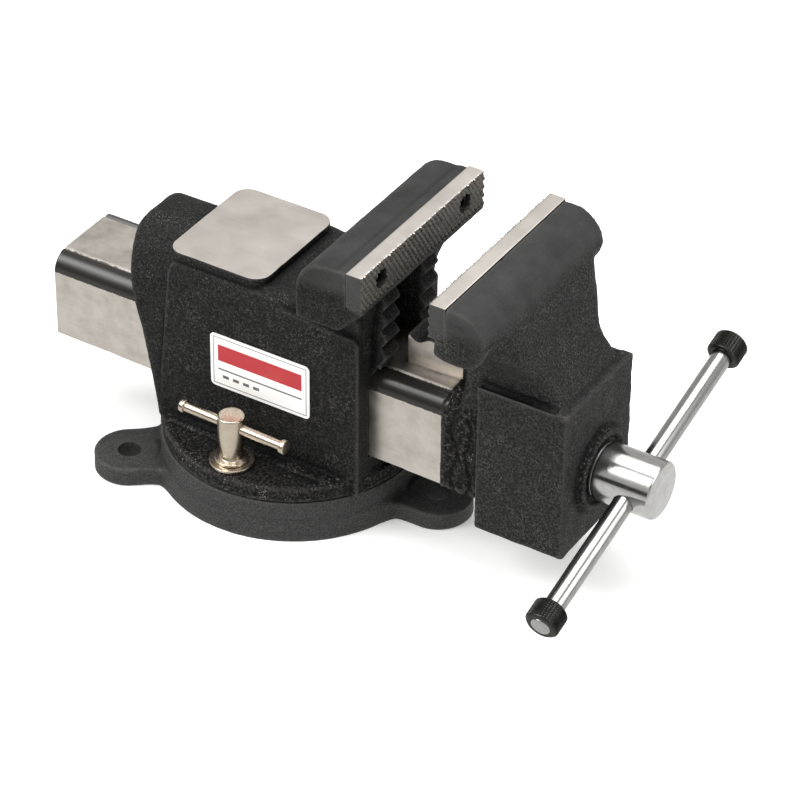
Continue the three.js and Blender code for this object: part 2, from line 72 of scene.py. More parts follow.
class Side(Enum):
    """The two sides of the vise; the value is the side's sign along Y."""

    NEAR = -1
    FAR = 1

    @property
    def word(self) -> str:
        """The side's word in the names of pieces."""
        return self.name.lower()


class Jaw(Enum):
    """The two jaws: word in names, body, grip face along X in millimetres, and the way that face looks."""

    FIXED = ("fixed", "swivel", 101.0, 1)
    MOVING = ("moving", "slide", 148.7, -1)

    @property
    def word(self) -> str:
        """The jaw's word in the names of pieces."""
        return self.value[0]

    @property
    def body(self) -> str:
        """The body that the jaw moves with."""
        return self.value[1]

    @property
    def face_x(self) -> float:
        """Place of the grip face along X, in millimetres."""
        return self.value[2]

    @property
    def facing(self) -> int:
        """The way the grip face looks: 1 along +X, -1 against it."""
        return self.value[3]


# ---------------------------------------------------------------- distances


def join(a: Array, b: Array, fillet: float = 0.0) -> Array:
    """Joins two shapes given as signed distances.

    Args:
        a: Distance to the first shape.
        b: Distance to the second shape.
        fillet: Radius of the hollow fillet where they meet.

    Returns:
        Distance to both together.
    """
    if fillet <= 0:
        return np.minimum(a, b)
    hollow = np.hypot(np.maximum(fillet - a, 0), np.maximum(fillet - b, 0))
    return np.maximum(fillet, np.minimum(a, b)) - hollow


def keep(a: Array, b: Array, edge: float = 0.0) -> Array:
    """Returns the part that two shapes share, with its new edges rounded to a radius."""
    return -join(-a, -b, edge)


def carve(a: Array, tool: Array, edge: float = 0.0) -> Array:
    """Returns a shape with a tool's shape taken out, and the rim rounded to a radius."""
    return -join(-a, tool, edge)


def slab(v: Array, low: float, high: float) -> Array:
    """Returns the distance to the layer between two heights."""
    return np.maximum(low - v, v - high)


def round_corners(corners: Sequence[tuple[float, ...]], closed: bool = True, step_deg: float = 12) -> Array:
    """Replaces each corner of a path by an arc.

    Args:
        corners: (u, v) or (u, v, radius) for each corner.
        closed: Whether the path returns to its start.
        step_deg: Largest turn between two points of an arc.

    Returns:
        The points of the rounded path, one row each.
    """
    points = [np.array(c[:2], float) for c in corners]
    radii = [c[2] if len(c) > 2 else 0.0 for c in corners]
    path: list[Array] = []
    count = len(points)
    for i, (corner, radius) in enumerate(zip(points, radii)):
        at_end = not closed and i in (0, count - 1)
        if radius <= 0 or at_end:
            path.append(corner)
            continue
        back = points[i - 1] - corner
        ahead = points[(i + 1) % count] - corner
        back, ahead = back / np.linalg.norm(back), ahead / np.linalg.norm(ahead)
        half = math.acos(float(np.clip(back @ ahead, -1, 1))) / 2
        middle = back + ahead
        centre = corner + middle / np.linalg.norm(middle) * radius / math.sin(half)
        start = corner + back * radius / math.tan(half) - centre
        cross = back[0] * ahead[1] - back[1] * ahead[0]
        turn = (math.pi - 2 * half) * (-1 if cross > 0 else 1)
        steps = max(2, math.ceil(abs(math.degrees(turn)) / step_deg))
        for k in range(steps + 1):
            c, s = math.cos(turn * k / steps), math.sin(turn * k / steps)
            path.append(centre + np.array([c * start[0] - s * start[1], s * start[0] + c * start[1]]))
    return np.array(path)


class Outline:
    """A closed outline in a plane, with an arc at each corner that asks for one."""

    def __init__(self, *corners: tuple[float, ...]) -> None:
        """Takes (u, v) or (u, v, radius) for each corner."""
        self.path = round_corners(corners)

    @classmethod
    def mirrored(cls, *corners: tuple[float, ...]) -> "Outline":
        """Returns an outline whose other half is the mirror image of the corners given."""
        return cls(*corners, *[(-c[0], *c[1:]) for c in reversed(corners)])

    def distance(self, u: Array, v: Array) -> Array:
        """Measures the signed distance to the outline.

        Args:
            u: Places along the plane's first axis.
            v: Places along its second axis.

        Returns:
            The distances, negative inside.
        """
        nearest = np.full(np.broadcast(u, v).shape, np.inf, np.float32)
        inside = np.zeros(nearest.shape, bool)
        for (u0, v0), (u1, v1) in zip(self.path, np.roll(self.path, -1, axis=0)):
            du, dv = u1 - u0, v1 - v0
            length = du * du + dv * dv
            if length < 1e-9:
                continue
            wu, wv = u - u0, v - v0
            along = np.clip((wu * du + wv * dv) / length, 0, 1)
            nearest = np.minimum(nearest, (wu - du * along) ** 2 + (wv - dv * along) ** 2)
            crosses = (v0 <= v) != (v1 <= v)
            inside ^= crosses & ((wu * dv < du * wv) == (dv < 0))
        return np.where(inside, -1, 1) * np.sqrt(nearest)


def waviness(x: Array, y: Array, z: Array, wavelength: float) -> Array:
    """Gives the soft unevenness of a sand casting.

    Args:
        x: Places along X.
        y: Places along Y.
        z: Places along Z.
        wavelength: Typical distance between two high spots.

    Returns:
        The unevenness, from -1 to 1.
    """
    k = 2 * math.pi / wavelength
    first = np.sin(k * (0.83 * x + 0.41 * y + 0.37 * z)) * np.sin(k * (0.29 * x - 0.77 * y + 0.56 * z) + 1.3)
    second = np.sin(k * (1.71 * z - 0.62 * x + 0.33 * y) + 0.7) * np.sin(k * (1.23 * y + 0.91 * z) + 2.1)
    return 0.6 * first + 0.4 * second


# ---------------------------------------------------------------- meshes


def new_object(name: str, mesh: bpy.types.Mesh) -> bpy.types.Object:
    """Returns a mesh as an object in the scene."""
    made = bpy.data.objects.new(name, mesh)
    bpy.context.scene.collection.objects.link(made)
    return made


def rectangle(name: str, wide: float, high: float) -> bpy.types.Mesh:
    """Returns a flat mesh of one face about the origin, given half its width and half its height."""
    mesh = bpy.data.meshes.new(name)
    corners = [(-wide, -high, 0), (wide, -high, 0), (wide, high, 0), (-wide, high, 0)]
    mesh.from_pydata(corners, [], [(0, 1, 2, 3)])
    return mesh


def mesh_from_arrays(name: str, points: Array, faces: Array) -> bpy.types.Mesh:
    """Makes a mesh.

    Args:
        name: Name of the mesh.
        points: Corner places in millimetres, one row each.
        faces: Corner numbers, one row for each face.

    Returns:
        The mesh, in metres.
    """
    mesh = bpy.data.meshes.new(name)
    count, sides = faces.shape
    mesh.vertices.add(len(points))
    mesh.vertices.foreach_set("co", (points * MM).astype(np.float32).ravel())
    mesh.loops.add(count * sides)
    mesh.loops.foreach_set("vertex_index", faces.astype(np.int32).ravel())
    mesh.polygons.add(count)
    mesh.polygons.foreach_set("loop_start", np.arange(0, count * sides, sides, dtype=np.int32))
    mesh.update(calc_edges=True)
    mesh.validate()
    return mesh


@dataclass
class Foundry:
    """Turns a distance field into a closed mesh whose corners lie on the field's own edges."""

    cell: float
    sharp_deg: float = 40.0
    nudge: float = 0.02
    flat_share: float = 0.08
    margin: float = 1.63
    refinements: int = 2
    longest_step: float = 0.3
    least_slope: float = 0.2

    def cast(self, name: str, shape: Field, low: Sequence[float], high: Sequence[float]) -> bpy.types.Mesh:
        """Casts a shape.

        Args:
            name: Name of the mesh.
            shape: Signed distance in millimetres.
            low: Lowest corner of the space around the shape.
            high: Highest corner of that space.

        Returns:
            The mesh, smooth but for its sharp edges.
        """
        start = np.array(low, float) - self.margin * self.cell
        counts = np.ceil((np.array(high, float) - start) / self.cell).astype(int) + 3
        axes = [(start[i] + self.cell * np.arange(counts[i])).astype(np.float32) for i in range(3)]
        values = shape(axes[0][:, None, None], axes[1][None, :, None], axes[2][None, None, :])
        values = np.ascontiguousarray(np.broadcast_to(values, tuple(counts)), dtype=np.float32)
        cells, owners, quads = [], [], []
        points, normals = [], []
        number = 0
        for axis in range(3):
            places, spots, tilt, outward = self._crossings(shape, values, start, axis)
            ring = self._cells_round(places, axis, counts)
            cells.append(ring.ravel())
            owners.append(np.repeat(np.arange(number, number + len(places)), 4))
            quads.append(np.where(outward[:, None], ring, ring[:, ::-1]))
            points.append(spots)
            normals.append(tilt)
            number += len(places)
        ids, slots = np.unique(np.concatenate(cells), return_inverse=True)
        owner = np.concatenate(owners)
        spots, tilts = np.concatenate(points)[owner], np.concatenate(normals)[owner]
        corners = self._settle(ids, slots, spots, tilts, start, counts)
        mesh = mesh_from_arrays(name, corners, np.searchsorted(ids, np.concatenate(quads)))
        mesh.shade_smooth()
        mesh.set_sharp_from_angle(angle=math.radians(self.sharp_deg))
        return mesh

    def _crossings(
        self, shape: Field, values: Array, start: Array, axis: int
    ) -> tuple[Array, Array, Array, Array]:
        """Finds where the surface cuts the grid lines along one axis.

        Args:
            shape: Signed distance in millimetres.
            values: The distance at each grid point.
            start: Place of the first grid point.
            axis: Number of the axis.

        Returns:
            The grid points before the cuts, the cuts' places, the surface's slopes there, and whether each
            grid line leaves the shape.
        """
        ahead = np.roll(values, -1, axis=axis)
        cuts = (values < 0) != (ahead < 0)
        places = np.argwhere(cuts)
        near, far = values[cuts], ahead[cuts]
        spots = start + places * self.cell
        share = near / (near - far)
        spots[:, axis] += share * self.cell
        for _ in range(self.refinements):
            step = self._slope(shape, spots, axis)
            spots[:, axis] -= np.clip(step, -self.longest_step, self.longest_step) * self.cell
        tilt = np.stack([self._difference(shape, spots, i) for i in range(3)], axis=1)
        tilt /= np.maximum(np.linalg.norm(tilt, axis=1, keepdims=True), 1e-6)
        return places, spots, tilt, near < 0

    def _difference(self, shape: Field, spots: Array, axis: int) -> Array:
        """Returns the field's slope along an axis at some points, by a small nudge each way."""
        step = np.zeros(3)
        step[axis] = self.nudge
        return (shape(*(spots + step).T) - shape(*(spots - step).T)) / (2 * self.nudge)

    def _slope(self, shape: Field, spots: Array, axis: int) -> Array:
        """Returns how far each point still is from the surface along an axis, in cells."""
        slope = self._difference(shape, spots, axis)
        least = self.least_slope
        slope = np.where(np.abs(slope) < least, np.copysign(least, slope + 1e-9), slope)
        return shape(*spots.T) / slope / self.cell

    @staticmethod
    def _cells_round(places: Array, axis: int, counts: Array) -> Array:
        """Finds the four cells round each cut grid line.

        Args:
            places: The grid points before the cuts.
            axis: Number of the axis that the lines run along.
            counts: How many grid points there are along each axis.

        Returns:
            The cells' numbers, one row of four for each line.
        """
        u, v = (axis + 1) % 3, (axis + 2) % 3
        ring = np.repeat(places[:, None, :], 4, axis=1)
        for k, (du, dv) in enumerate(((-1, -1), (0, -1), (0, 0), (-1, 0))):
            ring[:, k, u] += du
            ring[:, k, v] += dv
        return (ring[..., 0] * counts[1] + ring[..., 1]) * counts[2] + ring[..., 2]

    def _settle(
        self, ids: Array, slots: Array, spots: Array, tilts: Array, start: Array, counts: Array
    ) -> Array:
        """Places one corner in each cell where the planes that cut the cell meet best.

        Args:
            ids: Numbers of the cells that hold the surface.
            slots: For each plane, the row of its cell in ids.
            spots: A point on each plane.
            tilts: Each plane's normal.
            start: Place of the first grid point.
            counts: How many grid points there are along each axis.

        Returns:
            The corners' places, one row for each cell.
        """

        def total(weights: Array) -> Array:
            """Adds up the planes' weights for each cell."""
            return np.bincount(slots, weights=weights, minlength=len(ids))

        share = total(np.ones(len(slots)))
        middle = np.stack([total(spots[:, i]) for i in range(3)], axis=1) / share[:, None]
        reach = np.einsum("ij,ij->i", tilts, spots - middle[slots])
        matrix = np.empty((len(ids), 3, 3))
        pull = np.empty((len(ids), 3))
        for i in range(3):
            pull[:, i] = total(tilts[:, i] * reach)
            for j in range(3):
                matrix[:, i, j] = total(tilts[:, i] * tilts[:, j])
        strength, ways = np.linalg.eigh(matrix)
        weak = strength < self.flat_share * strength[:, -1:]
        inverse = np.where(weak, 0, 1 / np.maximum(strength, 1e-9))
        move = np.einsum("nij,nj,nkj,nk->ni", ways, inverse, ways, pull)
        cell = np.stack(np.unravel_index(ids, tuple(counts)), axis=1) * self.cell + start
        return np.clip(middle + move, cell, cell + self.cell)


def cast_in_box(
    foundry: Foundry, name: str, node: str, shape: Field, headroom: float = 0.0
) -> bpy.types.Object:
    """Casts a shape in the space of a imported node.

    Args:
        foundry: The foundry.
        name: Name of the piece.
        node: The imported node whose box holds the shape.
        shape: Signed distance in millimetres.
        headroom: Space added beyond the box's highest corner.

    Returns:
        The piece.
    """
    low, high = ([v / MM for v in corner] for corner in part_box(node))
    return new_object(name, foundry.cast(name, shape, low, [v + headroom for v in high]))


def set_finishes(piece: bpy.types.Object, finishes: Sequence[bpy.types.Material], choose: Finisher) -> None:
    """Gives each face of a piece one of several finishes.

    Args:
        piece: The piece.
        finishes: The materials, in the order of the numbers that choose returns.
        choose: Takes face centres in millimetres and face normals, returns a number for each face.
    """
    mesh = piece.data
    mesh.materials.clear()
    for material in finishes:
        mesh.materials.append(material)
    centres = np.empty(len(mesh.polygons) * 3)
    normals = np.empty(len(mesh.polygons) * 3)
    mesh.polygons.foreach_get("center", centres)
    mesh.polygons.foreach_get("normal", normals)
    numbers = choose(centres.reshape(-1, 3) / MM, normals.reshape(-1, 3))
    mesh.polygons.foreach_set("material_index", numbers.astype(np.int32))
    mesh.update()


def lathe(
    name: str, corners: Sequence[tuple[float, ...]], place: Matrix, sides: int = 96, ring: bool = False
) -> bpy.types.Object:
    """Turns a profile about its axis.

    Args:
        name: Name of the piece.
        corners: (along, radius) or (along, radius, rounding), in order from low to high along the axis.
        place: Takes the axis, which is local +X in millimetres, to its place.
        sides: Steps round the axis.
        ring: Whether the profile closes on itself instead of on the axis.

    Returns:
        The closed piece.
    """
    path = round_corners(corners, closed=ring, step_deg=15)
    if ring:
        path = np.vstack([path, path[:1]])
    turns = np.arange(sides) * 2 * math.pi / sides
    inner = path[:-1] if ring else path[1:-1]
    along = np.repeat(inner[:, 0], sides)
    spread = np.outer(inner[:, 1], np.cos(turns)).ravel(), np.outer(inner[:, 1], np.sin(turns)).ravel()
    points = np.stack([along, *spread], axis=1)
    rows = len(inner)
    here = np.arange(sides)
    ahead = (here + 1) % sides
    faces: list[tuple[int, ...]] = []
    for row in range(rows if ring else rows - 1):
        low, high = row * sides, (row + 1) % rows * sides
        faces += [(low + a, high + a, high + b, low + b) for a, b in zip(here, ahead)]
    if not ring:
        points = np.vstack([points, [[path[0, 0], 0, 0], [path[-1, 0], 0, 0]]])
        first, last = rows * sides, rows * sides + 1
        top = (rows - 1) * sides
        faces += [(first, a, b) for a, b in zip(here, ahead)]
        faces += [(last, top + b, top + a) for a, b in zip(here, ahead)]
    mesh = bpy.data.meshes.new(name)
    mesh.from_pydata([tuple(p * MM) for p in points], [], [tuple(int(i) for i in f) for f in faces])
    placed = place.copy()
    placed.translation = placed.translation * MM
    mesh.transform(placed)
    face_outwards(mesh)
    mesh.shade_smooth()
    mesh.set_sharp_from_angle(angle=TURNED_SHARP)
    return new_object(name, mesh)


def face_outwards(mesh: bpy.types.Mesh) -> None:
    """Turns a closed mesh's faces to point out.

    Args:
        mesh: The mesh, changed in place.
    """
    mesh.update()
    mesh.calc_loop_triangles()
    corners = np.empty(len(mesh.vertices) * 3)
    mesh.vertices.foreach_get("co", corners)
    corners = corners.reshape(-1, 3)
    triangles = np.empty(len(mesh.loop_triangles) * 3, np.int32)
    mesh.loop_triangles.foreach_get("vertices", triangles)
    a, b, c = (corners[triangles.reshape(-1, 3)[:, i]] - corners.mean(0) for i in range(3))
    if np.einsum("ij,ij->i", a, np.cross(b, c)).sum() < 0:
        mesh.flip_normals()


def cut_away(piece: bpy.types.Object, *tools: bpy.types.Object) -> None:
    """Takes the tools' shapes out of a piece, and removes the tools.

    Args:
        piece: The piece, changed in place.
        tools: Closed objects.
    """
    for tool in tools:
        modifier = piece.modifiers.new("cut", "BOOLEAN")
        modifier.operation = "DIFFERENCE"
        modifier.solver = "EXACT"
        modifier.object = tool
    bake_modifiers(piece)
    for tool in tools:
        bpy.data.objects.remove(tool)
    piece.data.set_sharp_from_angle(angle=TURNED_SHARP)


def bake_modifiers(piece: bpy.types.Object) -> None:
    """Turns a piece's modifiers into plain mesh.

    Args:
        piece: The piece, changed in place.
    """
    bpy.context.view_layer.update()
    evaluated = piece.evaluated_get(bpy.context.evaluated_depsgraph_get())
    mesh = bpy.data.meshes.new_from_object(evaluated)
    piece.modifiers.clear()
    piece.data = mesh


def polish(piece: bpy.types.Object, origin: Vector, axis: Vector) -> None:
    """Gives a turned surface its exact round normals, so that its reflections run true past a hole.

    Args:
        piece: The piece.
        origin: A point on its axis, in metres.
        axis: The direction of its axis.
    """
    mesh = piece.data
    way = axis.normalized()
    normals = []
    for face in mesh.polygons:
        for corner in face.vertices:
            out = mesh.vertices[corner].co - origin
            out -= way * out.dot(way)
            round_here = out.length > 1e-6 and face.normal.dot(out.normalized()) > 0.985
            normals.append(out.normalized() if round_here else Vector((0, 0, 0)))
    mesh.normals_split_custom_set(normals)


def about(x: float, y: float, z: float, toward: Sequence[float] = (1, 0, 0)) -> Matrix:
    """Places a piece that is built about local +X.

    Args:
        x: The point along X, in millimetres, where local zero goes.
        y: The point along Y.
        z: The point along Z.
        toward: The direction that local +X takes.

    Returns:
        The placing.
    """
    turn = Vector((1, 0, 0)).rotation_difference(Vector(toward)).to_matrix().to_4x4()
    turn.translation = Vector((x, y, z))
    return turn


# ---------------------------------------------------------------- node trees


def linear(colour: str) -> tuple[float, float, float, float]:
    """Turns an sRGB hex colour into a linear one."""
    parts = [int(colour[i : i + 2], 16) / 255 for i in (1, 3, 5)]
    return (*[p / 12.92 if p <= 0.04045 else ((p + 0.055) / 1.055) ** 2.4 for p in parts], 1.0)


def add(
    tree: bpy.types.NodeTree, kind: str, inputs: dict | None = None, **settings: object
) -> bpy.types.Node:
    """Adds a node.

    Args:
        tree: The node tree.
        kind: The node's type.
        inputs: Input name or number to a value, or to the socket that feeds it.
        settings: The node's own settings.

    Returns:
        The node.
    """
    node = tree.nodes.new(kind)
    for name, value in settings.items():
        setattr(node, name, value)
    for key, value in (inputs or {}).items():
        if isinstance(value, bpy.types.NodeSocket):
            tree.links.new(value, node.inputs[key])
        else:
            node.inputs[key].default_value = value
    return node


def declare(tree: bpy.types.NodeTree, *sockets: tuple[str, str]) -> bpy.types.NodeOutputs:
    """Args:
        tree: The tree.
        sockets: Name and kind of each input, in order.

    Returns:
        The inputs, as the sockets other nodes link to.
    """
    for name, kind in sockets:
        tree.interface.new_socket(name, in_out="INPUT", socket_type="NodeSocket" + kind)
    tree.interface.new_socket("Geometry", in_out="OUTPUT", socket_type="NodeSocketGeometry")
    return add(tree, "NodeGroupInput").outputs


def dress(
    tree: bpy.types.NodeTree, geometry: bpy.types.NodeSocket, finish: bpy.types.NodeSocket
) -> bpy.types.NodeSocket:
    """Returns a geometry with a finish set on it."""
    return add(tree, "GeometryNodeSetMaterial", {"Geometry": geometry, "Material": finish}).outputs[0]


def ramp(
    tree: bpy.types.NodeTree, source: bpy.types.NodeSocket, stops: Iterable[tuple[float, str]]
) -> bpy.types.NodeSocket:
    """Maps a number to a colour between stops.

    Args:
        tree: The node tree.
        source: The number.
        stops: (number, hex colour) for each stop, in order.

    Returns:
        The colour.
    """
    node = add(tree, "ShaderNodeValToRGB", {0: source})
    elements = node.color_ramp.elements
    for i, (place, colour) in enumerate(stops):
        element = elements[i] if i < 2 else elements.new(place)
        element.position = place
        element.color = linear(colour)
    return node.outputs[0]


def new_material(name: str) -> tuple[bpy.types.Material, bpy.types.NodeTree, bpy.types.Node]:
    """Starts a material with a surface shader.

    Args:
        name: Its name.

    Returns:
        The material, its tree and its shader.
    """
    material = bpy.data.materials.new(name)
    material.use_nodes = True
    tree = material.node_tree
    tree.nodes.clear()
    shader = add(tree, "ShaderNodeBsdfPrincipled")
    add(tree, "ShaderNodeOutputMaterial", {"Surface": shader.outputs[0]})
    return material, tree, shader


@dataclass(frozen=True)
class TexturedCoat:
    """Black textured powder coat on grey cast iron: matt and pebbly, with painted glints (pale specks on its
    crests that stand in for highlights), painted shade in its creases, and paler convex edges that show wear
    together with a painted edge highlight.

    The pebbles are drawn a little coarser than the real ones, so that they show from across a bench.
    """

    name: str = "textured_powder_coat_on_cast_iron"
    deep: str = "#0e0e0e"
    body: str = "#212121"
    crest: str = "#383736"
    # painted highlight: colour of the glints painted on the pebbles' crests
    glint: str = "#6b6967"
    # paler colour for convex edges: edge wear together with a painted edge highlight
    worn: str = "#4c4b4a"
    soft_dark: str = "#2e2e2e"
    soft_pale: str = "#3a3a3a"
    gloss: float = 0.24
    grain_mm: float = 1.25
    glint_mm: float = 0.9
    cloud_mm: float = 18.0
    relief_mm: float = 0.3
    roughness: float = 0.66

    def material(self, calm_from_mm: float = 204.0, calm_to_mm: float = 212.0) -> bpy.types.Material:
        """Builds the coat.

        Args:
            calm_from_mm: Height where the texture starts to fade, as it does on a smoothed jaw top.
            calm_to_mm: Height where it is faintest.

        Returns:
            The material.
        """
        material, tree, shader = new_material(self.name)
        place = add(tree, "ShaderNodeTexCoord").outputs["Object"]
        pebbles = add(
            tree, "ShaderNodeTexNoise",
            {"Vector": place, "Scale": 1 / (self.grain_mm * MM), "Detail": 3.0, "Roughness": 0.6},
        ).outputs[0]
        painted_glint_cells = add(
            tree, "ShaderNodeTexVoronoi", {"Vector": place, "Scale": 1 / (self.glint_mm * MM)}, feature="F1"
        ).outputs["Distance"]
        clouds = add(
            tree, "ShaderNodeTexNoise", {"Vector": place, "Scale": 1 / (self.cloud_mm * MM), "Detail": 4.0}
        ).outputs[0]
        height = add(tree, "ShaderNodeSeparateXYZ", {0: place}).outputs["Z"]
        span = {"From Min": calm_from_mm * MM, "From Max": calm_to_mm * MM, "To Min": 1.0, "To Max": 0.12}
        rich = add(tree, "ShaderNodeMapRange", {"Value": height, **span}).outputs[0]
        base = ramp(tree, pebbles, [(0.36, self.deep), (0.5, self.body), (0.66, self.crest)])
        crowd = {"Value": clouds, "From Min": 0.42, "From Max": 0.6, "To Min": 0.08, "To Max": 0.27}
        patch = add(tree, "ShaderNodeMapRange", crowd).outputs[0]
        # Painted glints: pale specks on the pebbles' crests, painted highlights mixed into the colour.
        near = add(tree, "ShaderNodeMath", {0: painted_glint_cells, 1: patch}, operation="LESS_THAN").outputs[0]
        raised = add(
            tree, "ShaderNodeMapRange", {"Value": pebbles, "From Min": 0.46, "From Max": 0.58}
        ).outputs[0]
        painted_glint_mask = add(tree, "ShaderNodeMath", {0: near, 1: raised}, operation="MULTIPLY").outputs[0]
        painted_glint_colour = add(
            tree, "ShaderNodeMix", {"Factor": painted_glint_mask, 6: base, 7: linear(self.glint)}, data_type="RGBA"
        ).outputs[2]
        soft = ramp(tree, clouds, [(0.3, self.soft_dark), (0.7, self.soft_pale)])
        colour = add(tree, "ShaderNodeMix", {"Factor": rich, 6: soft, 7: painted_glint_colour}, data_type="RGBA").outputs[2]
        # Painted shade and highlight by pointiness: concave creases are darkened towards #050505 as painted
        # shade, and convex edges are lightened with the worn colour, which is edge wear together with a
        # painted edge highlight.
        edge = add(tree, "ShaderNodeNewGeometry").outputs["Pointiness"]
        for low, high, shade, reach in ((0.5, 0.47, "#050505", 0.75), (0.515, 0.57, self.worn, 0.55)):
            mask = {"Value": edge, "From Min": low, "From Max": high, "To Max": reach}
            part = add(tree, "ShaderNodeMapRange", mask).outputs[0]
            colour = add(
                tree, "ShaderNodeMix", {"Factor": part, 6: colour, 7: linear(shade)}, data_type="RGBA"
            ).outputs[2]
        strength = add(tree, "ShaderNodeMath", {0: rich, 1: 0.85}, operation="MULTIPLY").outputs[0]
        bump = add(
            tree, "ShaderNodeBump", {"Strength": strength, "Distance": self.relief_mm * MM, "Height": pebbles}
        ).outputs[0]
        rough = add(
            tree, "ShaderNodeMapRange",
            {"Value": pebbles, "To Min": self.roughness + 0.16, "To Max": self.roughness - 0.16},
        ).outputs[0]
        for name, value in {"Base Color": colour, "Roughness": rough, "Normal": bump}.items():
            tree.links.new(value, shader.inputs[name])
        shader.inputs["Specular IOR Level"].default_value = self.gloss
        return material


@dataclass(frozen=True)
class GroundIron:
    """Grey iron, milled and ground: satin and bright, with fine lines along the cut and faint clouds."""

    name: str = "ground_grey_iron"
    pale: str = "#dcd6cf"
    dull: str = "#d0cac3"
    line_mm: float = 0.5
    run_mm: float = 60.0
    cloud_mm: float = 22.0
    roughness: float = 0.38

    def material(self) -> bpy.types.Material:
        """Builds the finish.

        Returns:
            The material.
        """
        material, tree, shader = new_material(self.name)
        place = add(tree, "ShaderNodeTexCoord").outputs["Object"]
        grain = 1 / (self.line_mm * MM)
        stretched = add(
            tree, "ShaderNodeMapping", {"Vector": place, "Scale": (1 / (self.run_mm * MM), grain, grain)}
        ).outputs[0]
        lines = add(tree, "ShaderNodeTexNoise", {"Vector": stretched, "Scale": 1.0, "Detail": 2.0}).outputs[0]
        cloud = {"Vector": place, "Scale": 1 / (self.cloud_mm * MM), "Detail": 4.0, "Roughness": 0.6}
        clouds = add(tree, "ShaderNodeTexNoise", cloud).outputs[0]
        blend = add(tree, "ShaderNodeMix", {"Factor": 0.3, 2: clouds, 3: lines}, data_type="FLOAT").outputs[0]
        colour = ramp(tree, blend, [(0.35, self.dull), (0.62, self.pale)])
        rough = add(
            tree,
            "ShaderNodeMapRange",
            {"Value": blend, "To Min": self.roughness - 0.1, "To Max": self.roughness + 0.14},
        ).outputs[0]
        bump = add(
            tree, "ShaderNodeBump", {"Strength": 0.25, "Distance": 0.02 * MM, "Height": lines}
        ).outputs[0]
        for name, value in {"Base Color": colour, "Roughness": rough, "Normal": bump}.items():
            tree.links.new(value, shader.inputs[name])
        shader.inputs["Metallic"].default_value = 1.0
        return material


@dataclass(frozen=True)
class PlainMetal:
    """A turned and plated or oxidised metal: its lustre varies a little with handling."""

    name: str
    colour: str
    worn: str
    roughness: float
    spread: float = 0.05
    grain_mm: float = 6.0
    relief_mm: float = 0.0

    def material(self) -> bpy.types.Material:
        """Builds the finish.

        Returns:
            The material.
        """
        material, tree, shader = new_material(self.name)
        place = add(tree, "ShaderNodeTexCoord").outputs["Object"]
        smears = add(
            tree,
            "ShaderNodeTexNoise",
            {"Vector": place, "Scale": 1 / (self.grain_mm * MM), "Detail": 5.0, "Roughness": 0.65},
        ).outputs[0]
        colour = ramp(tree, smears, [(0.38, self.colour), (0.7, self.worn)])
        rough = add(
            tree,
            "ShaderNodeMapRange",
            {
                "Value": smears,
                "From Min": 0.3,
                "From Max": 0.7,
                "To Min": self.roughness - self.spread,
                "To Max": self.roughness + self.spread,
            },
        ).outputs[0]
        tree.links.new(colour, shader.inputs["Base Color"])
        tree.links.new(rough, shader.inputs["Roughness"])
        if self.relief_mm:
            bump = add(
                tree, "ShaderNodeBump", {"Strength": 0.6, "Distance": self.relief_mm * MM, "Height": smears}
            ).outputs[0]
            tree.links.new(bump, shader.inputs["Normal"])
        shader.inputs["Metallic"].default_value = 1.0
        return material


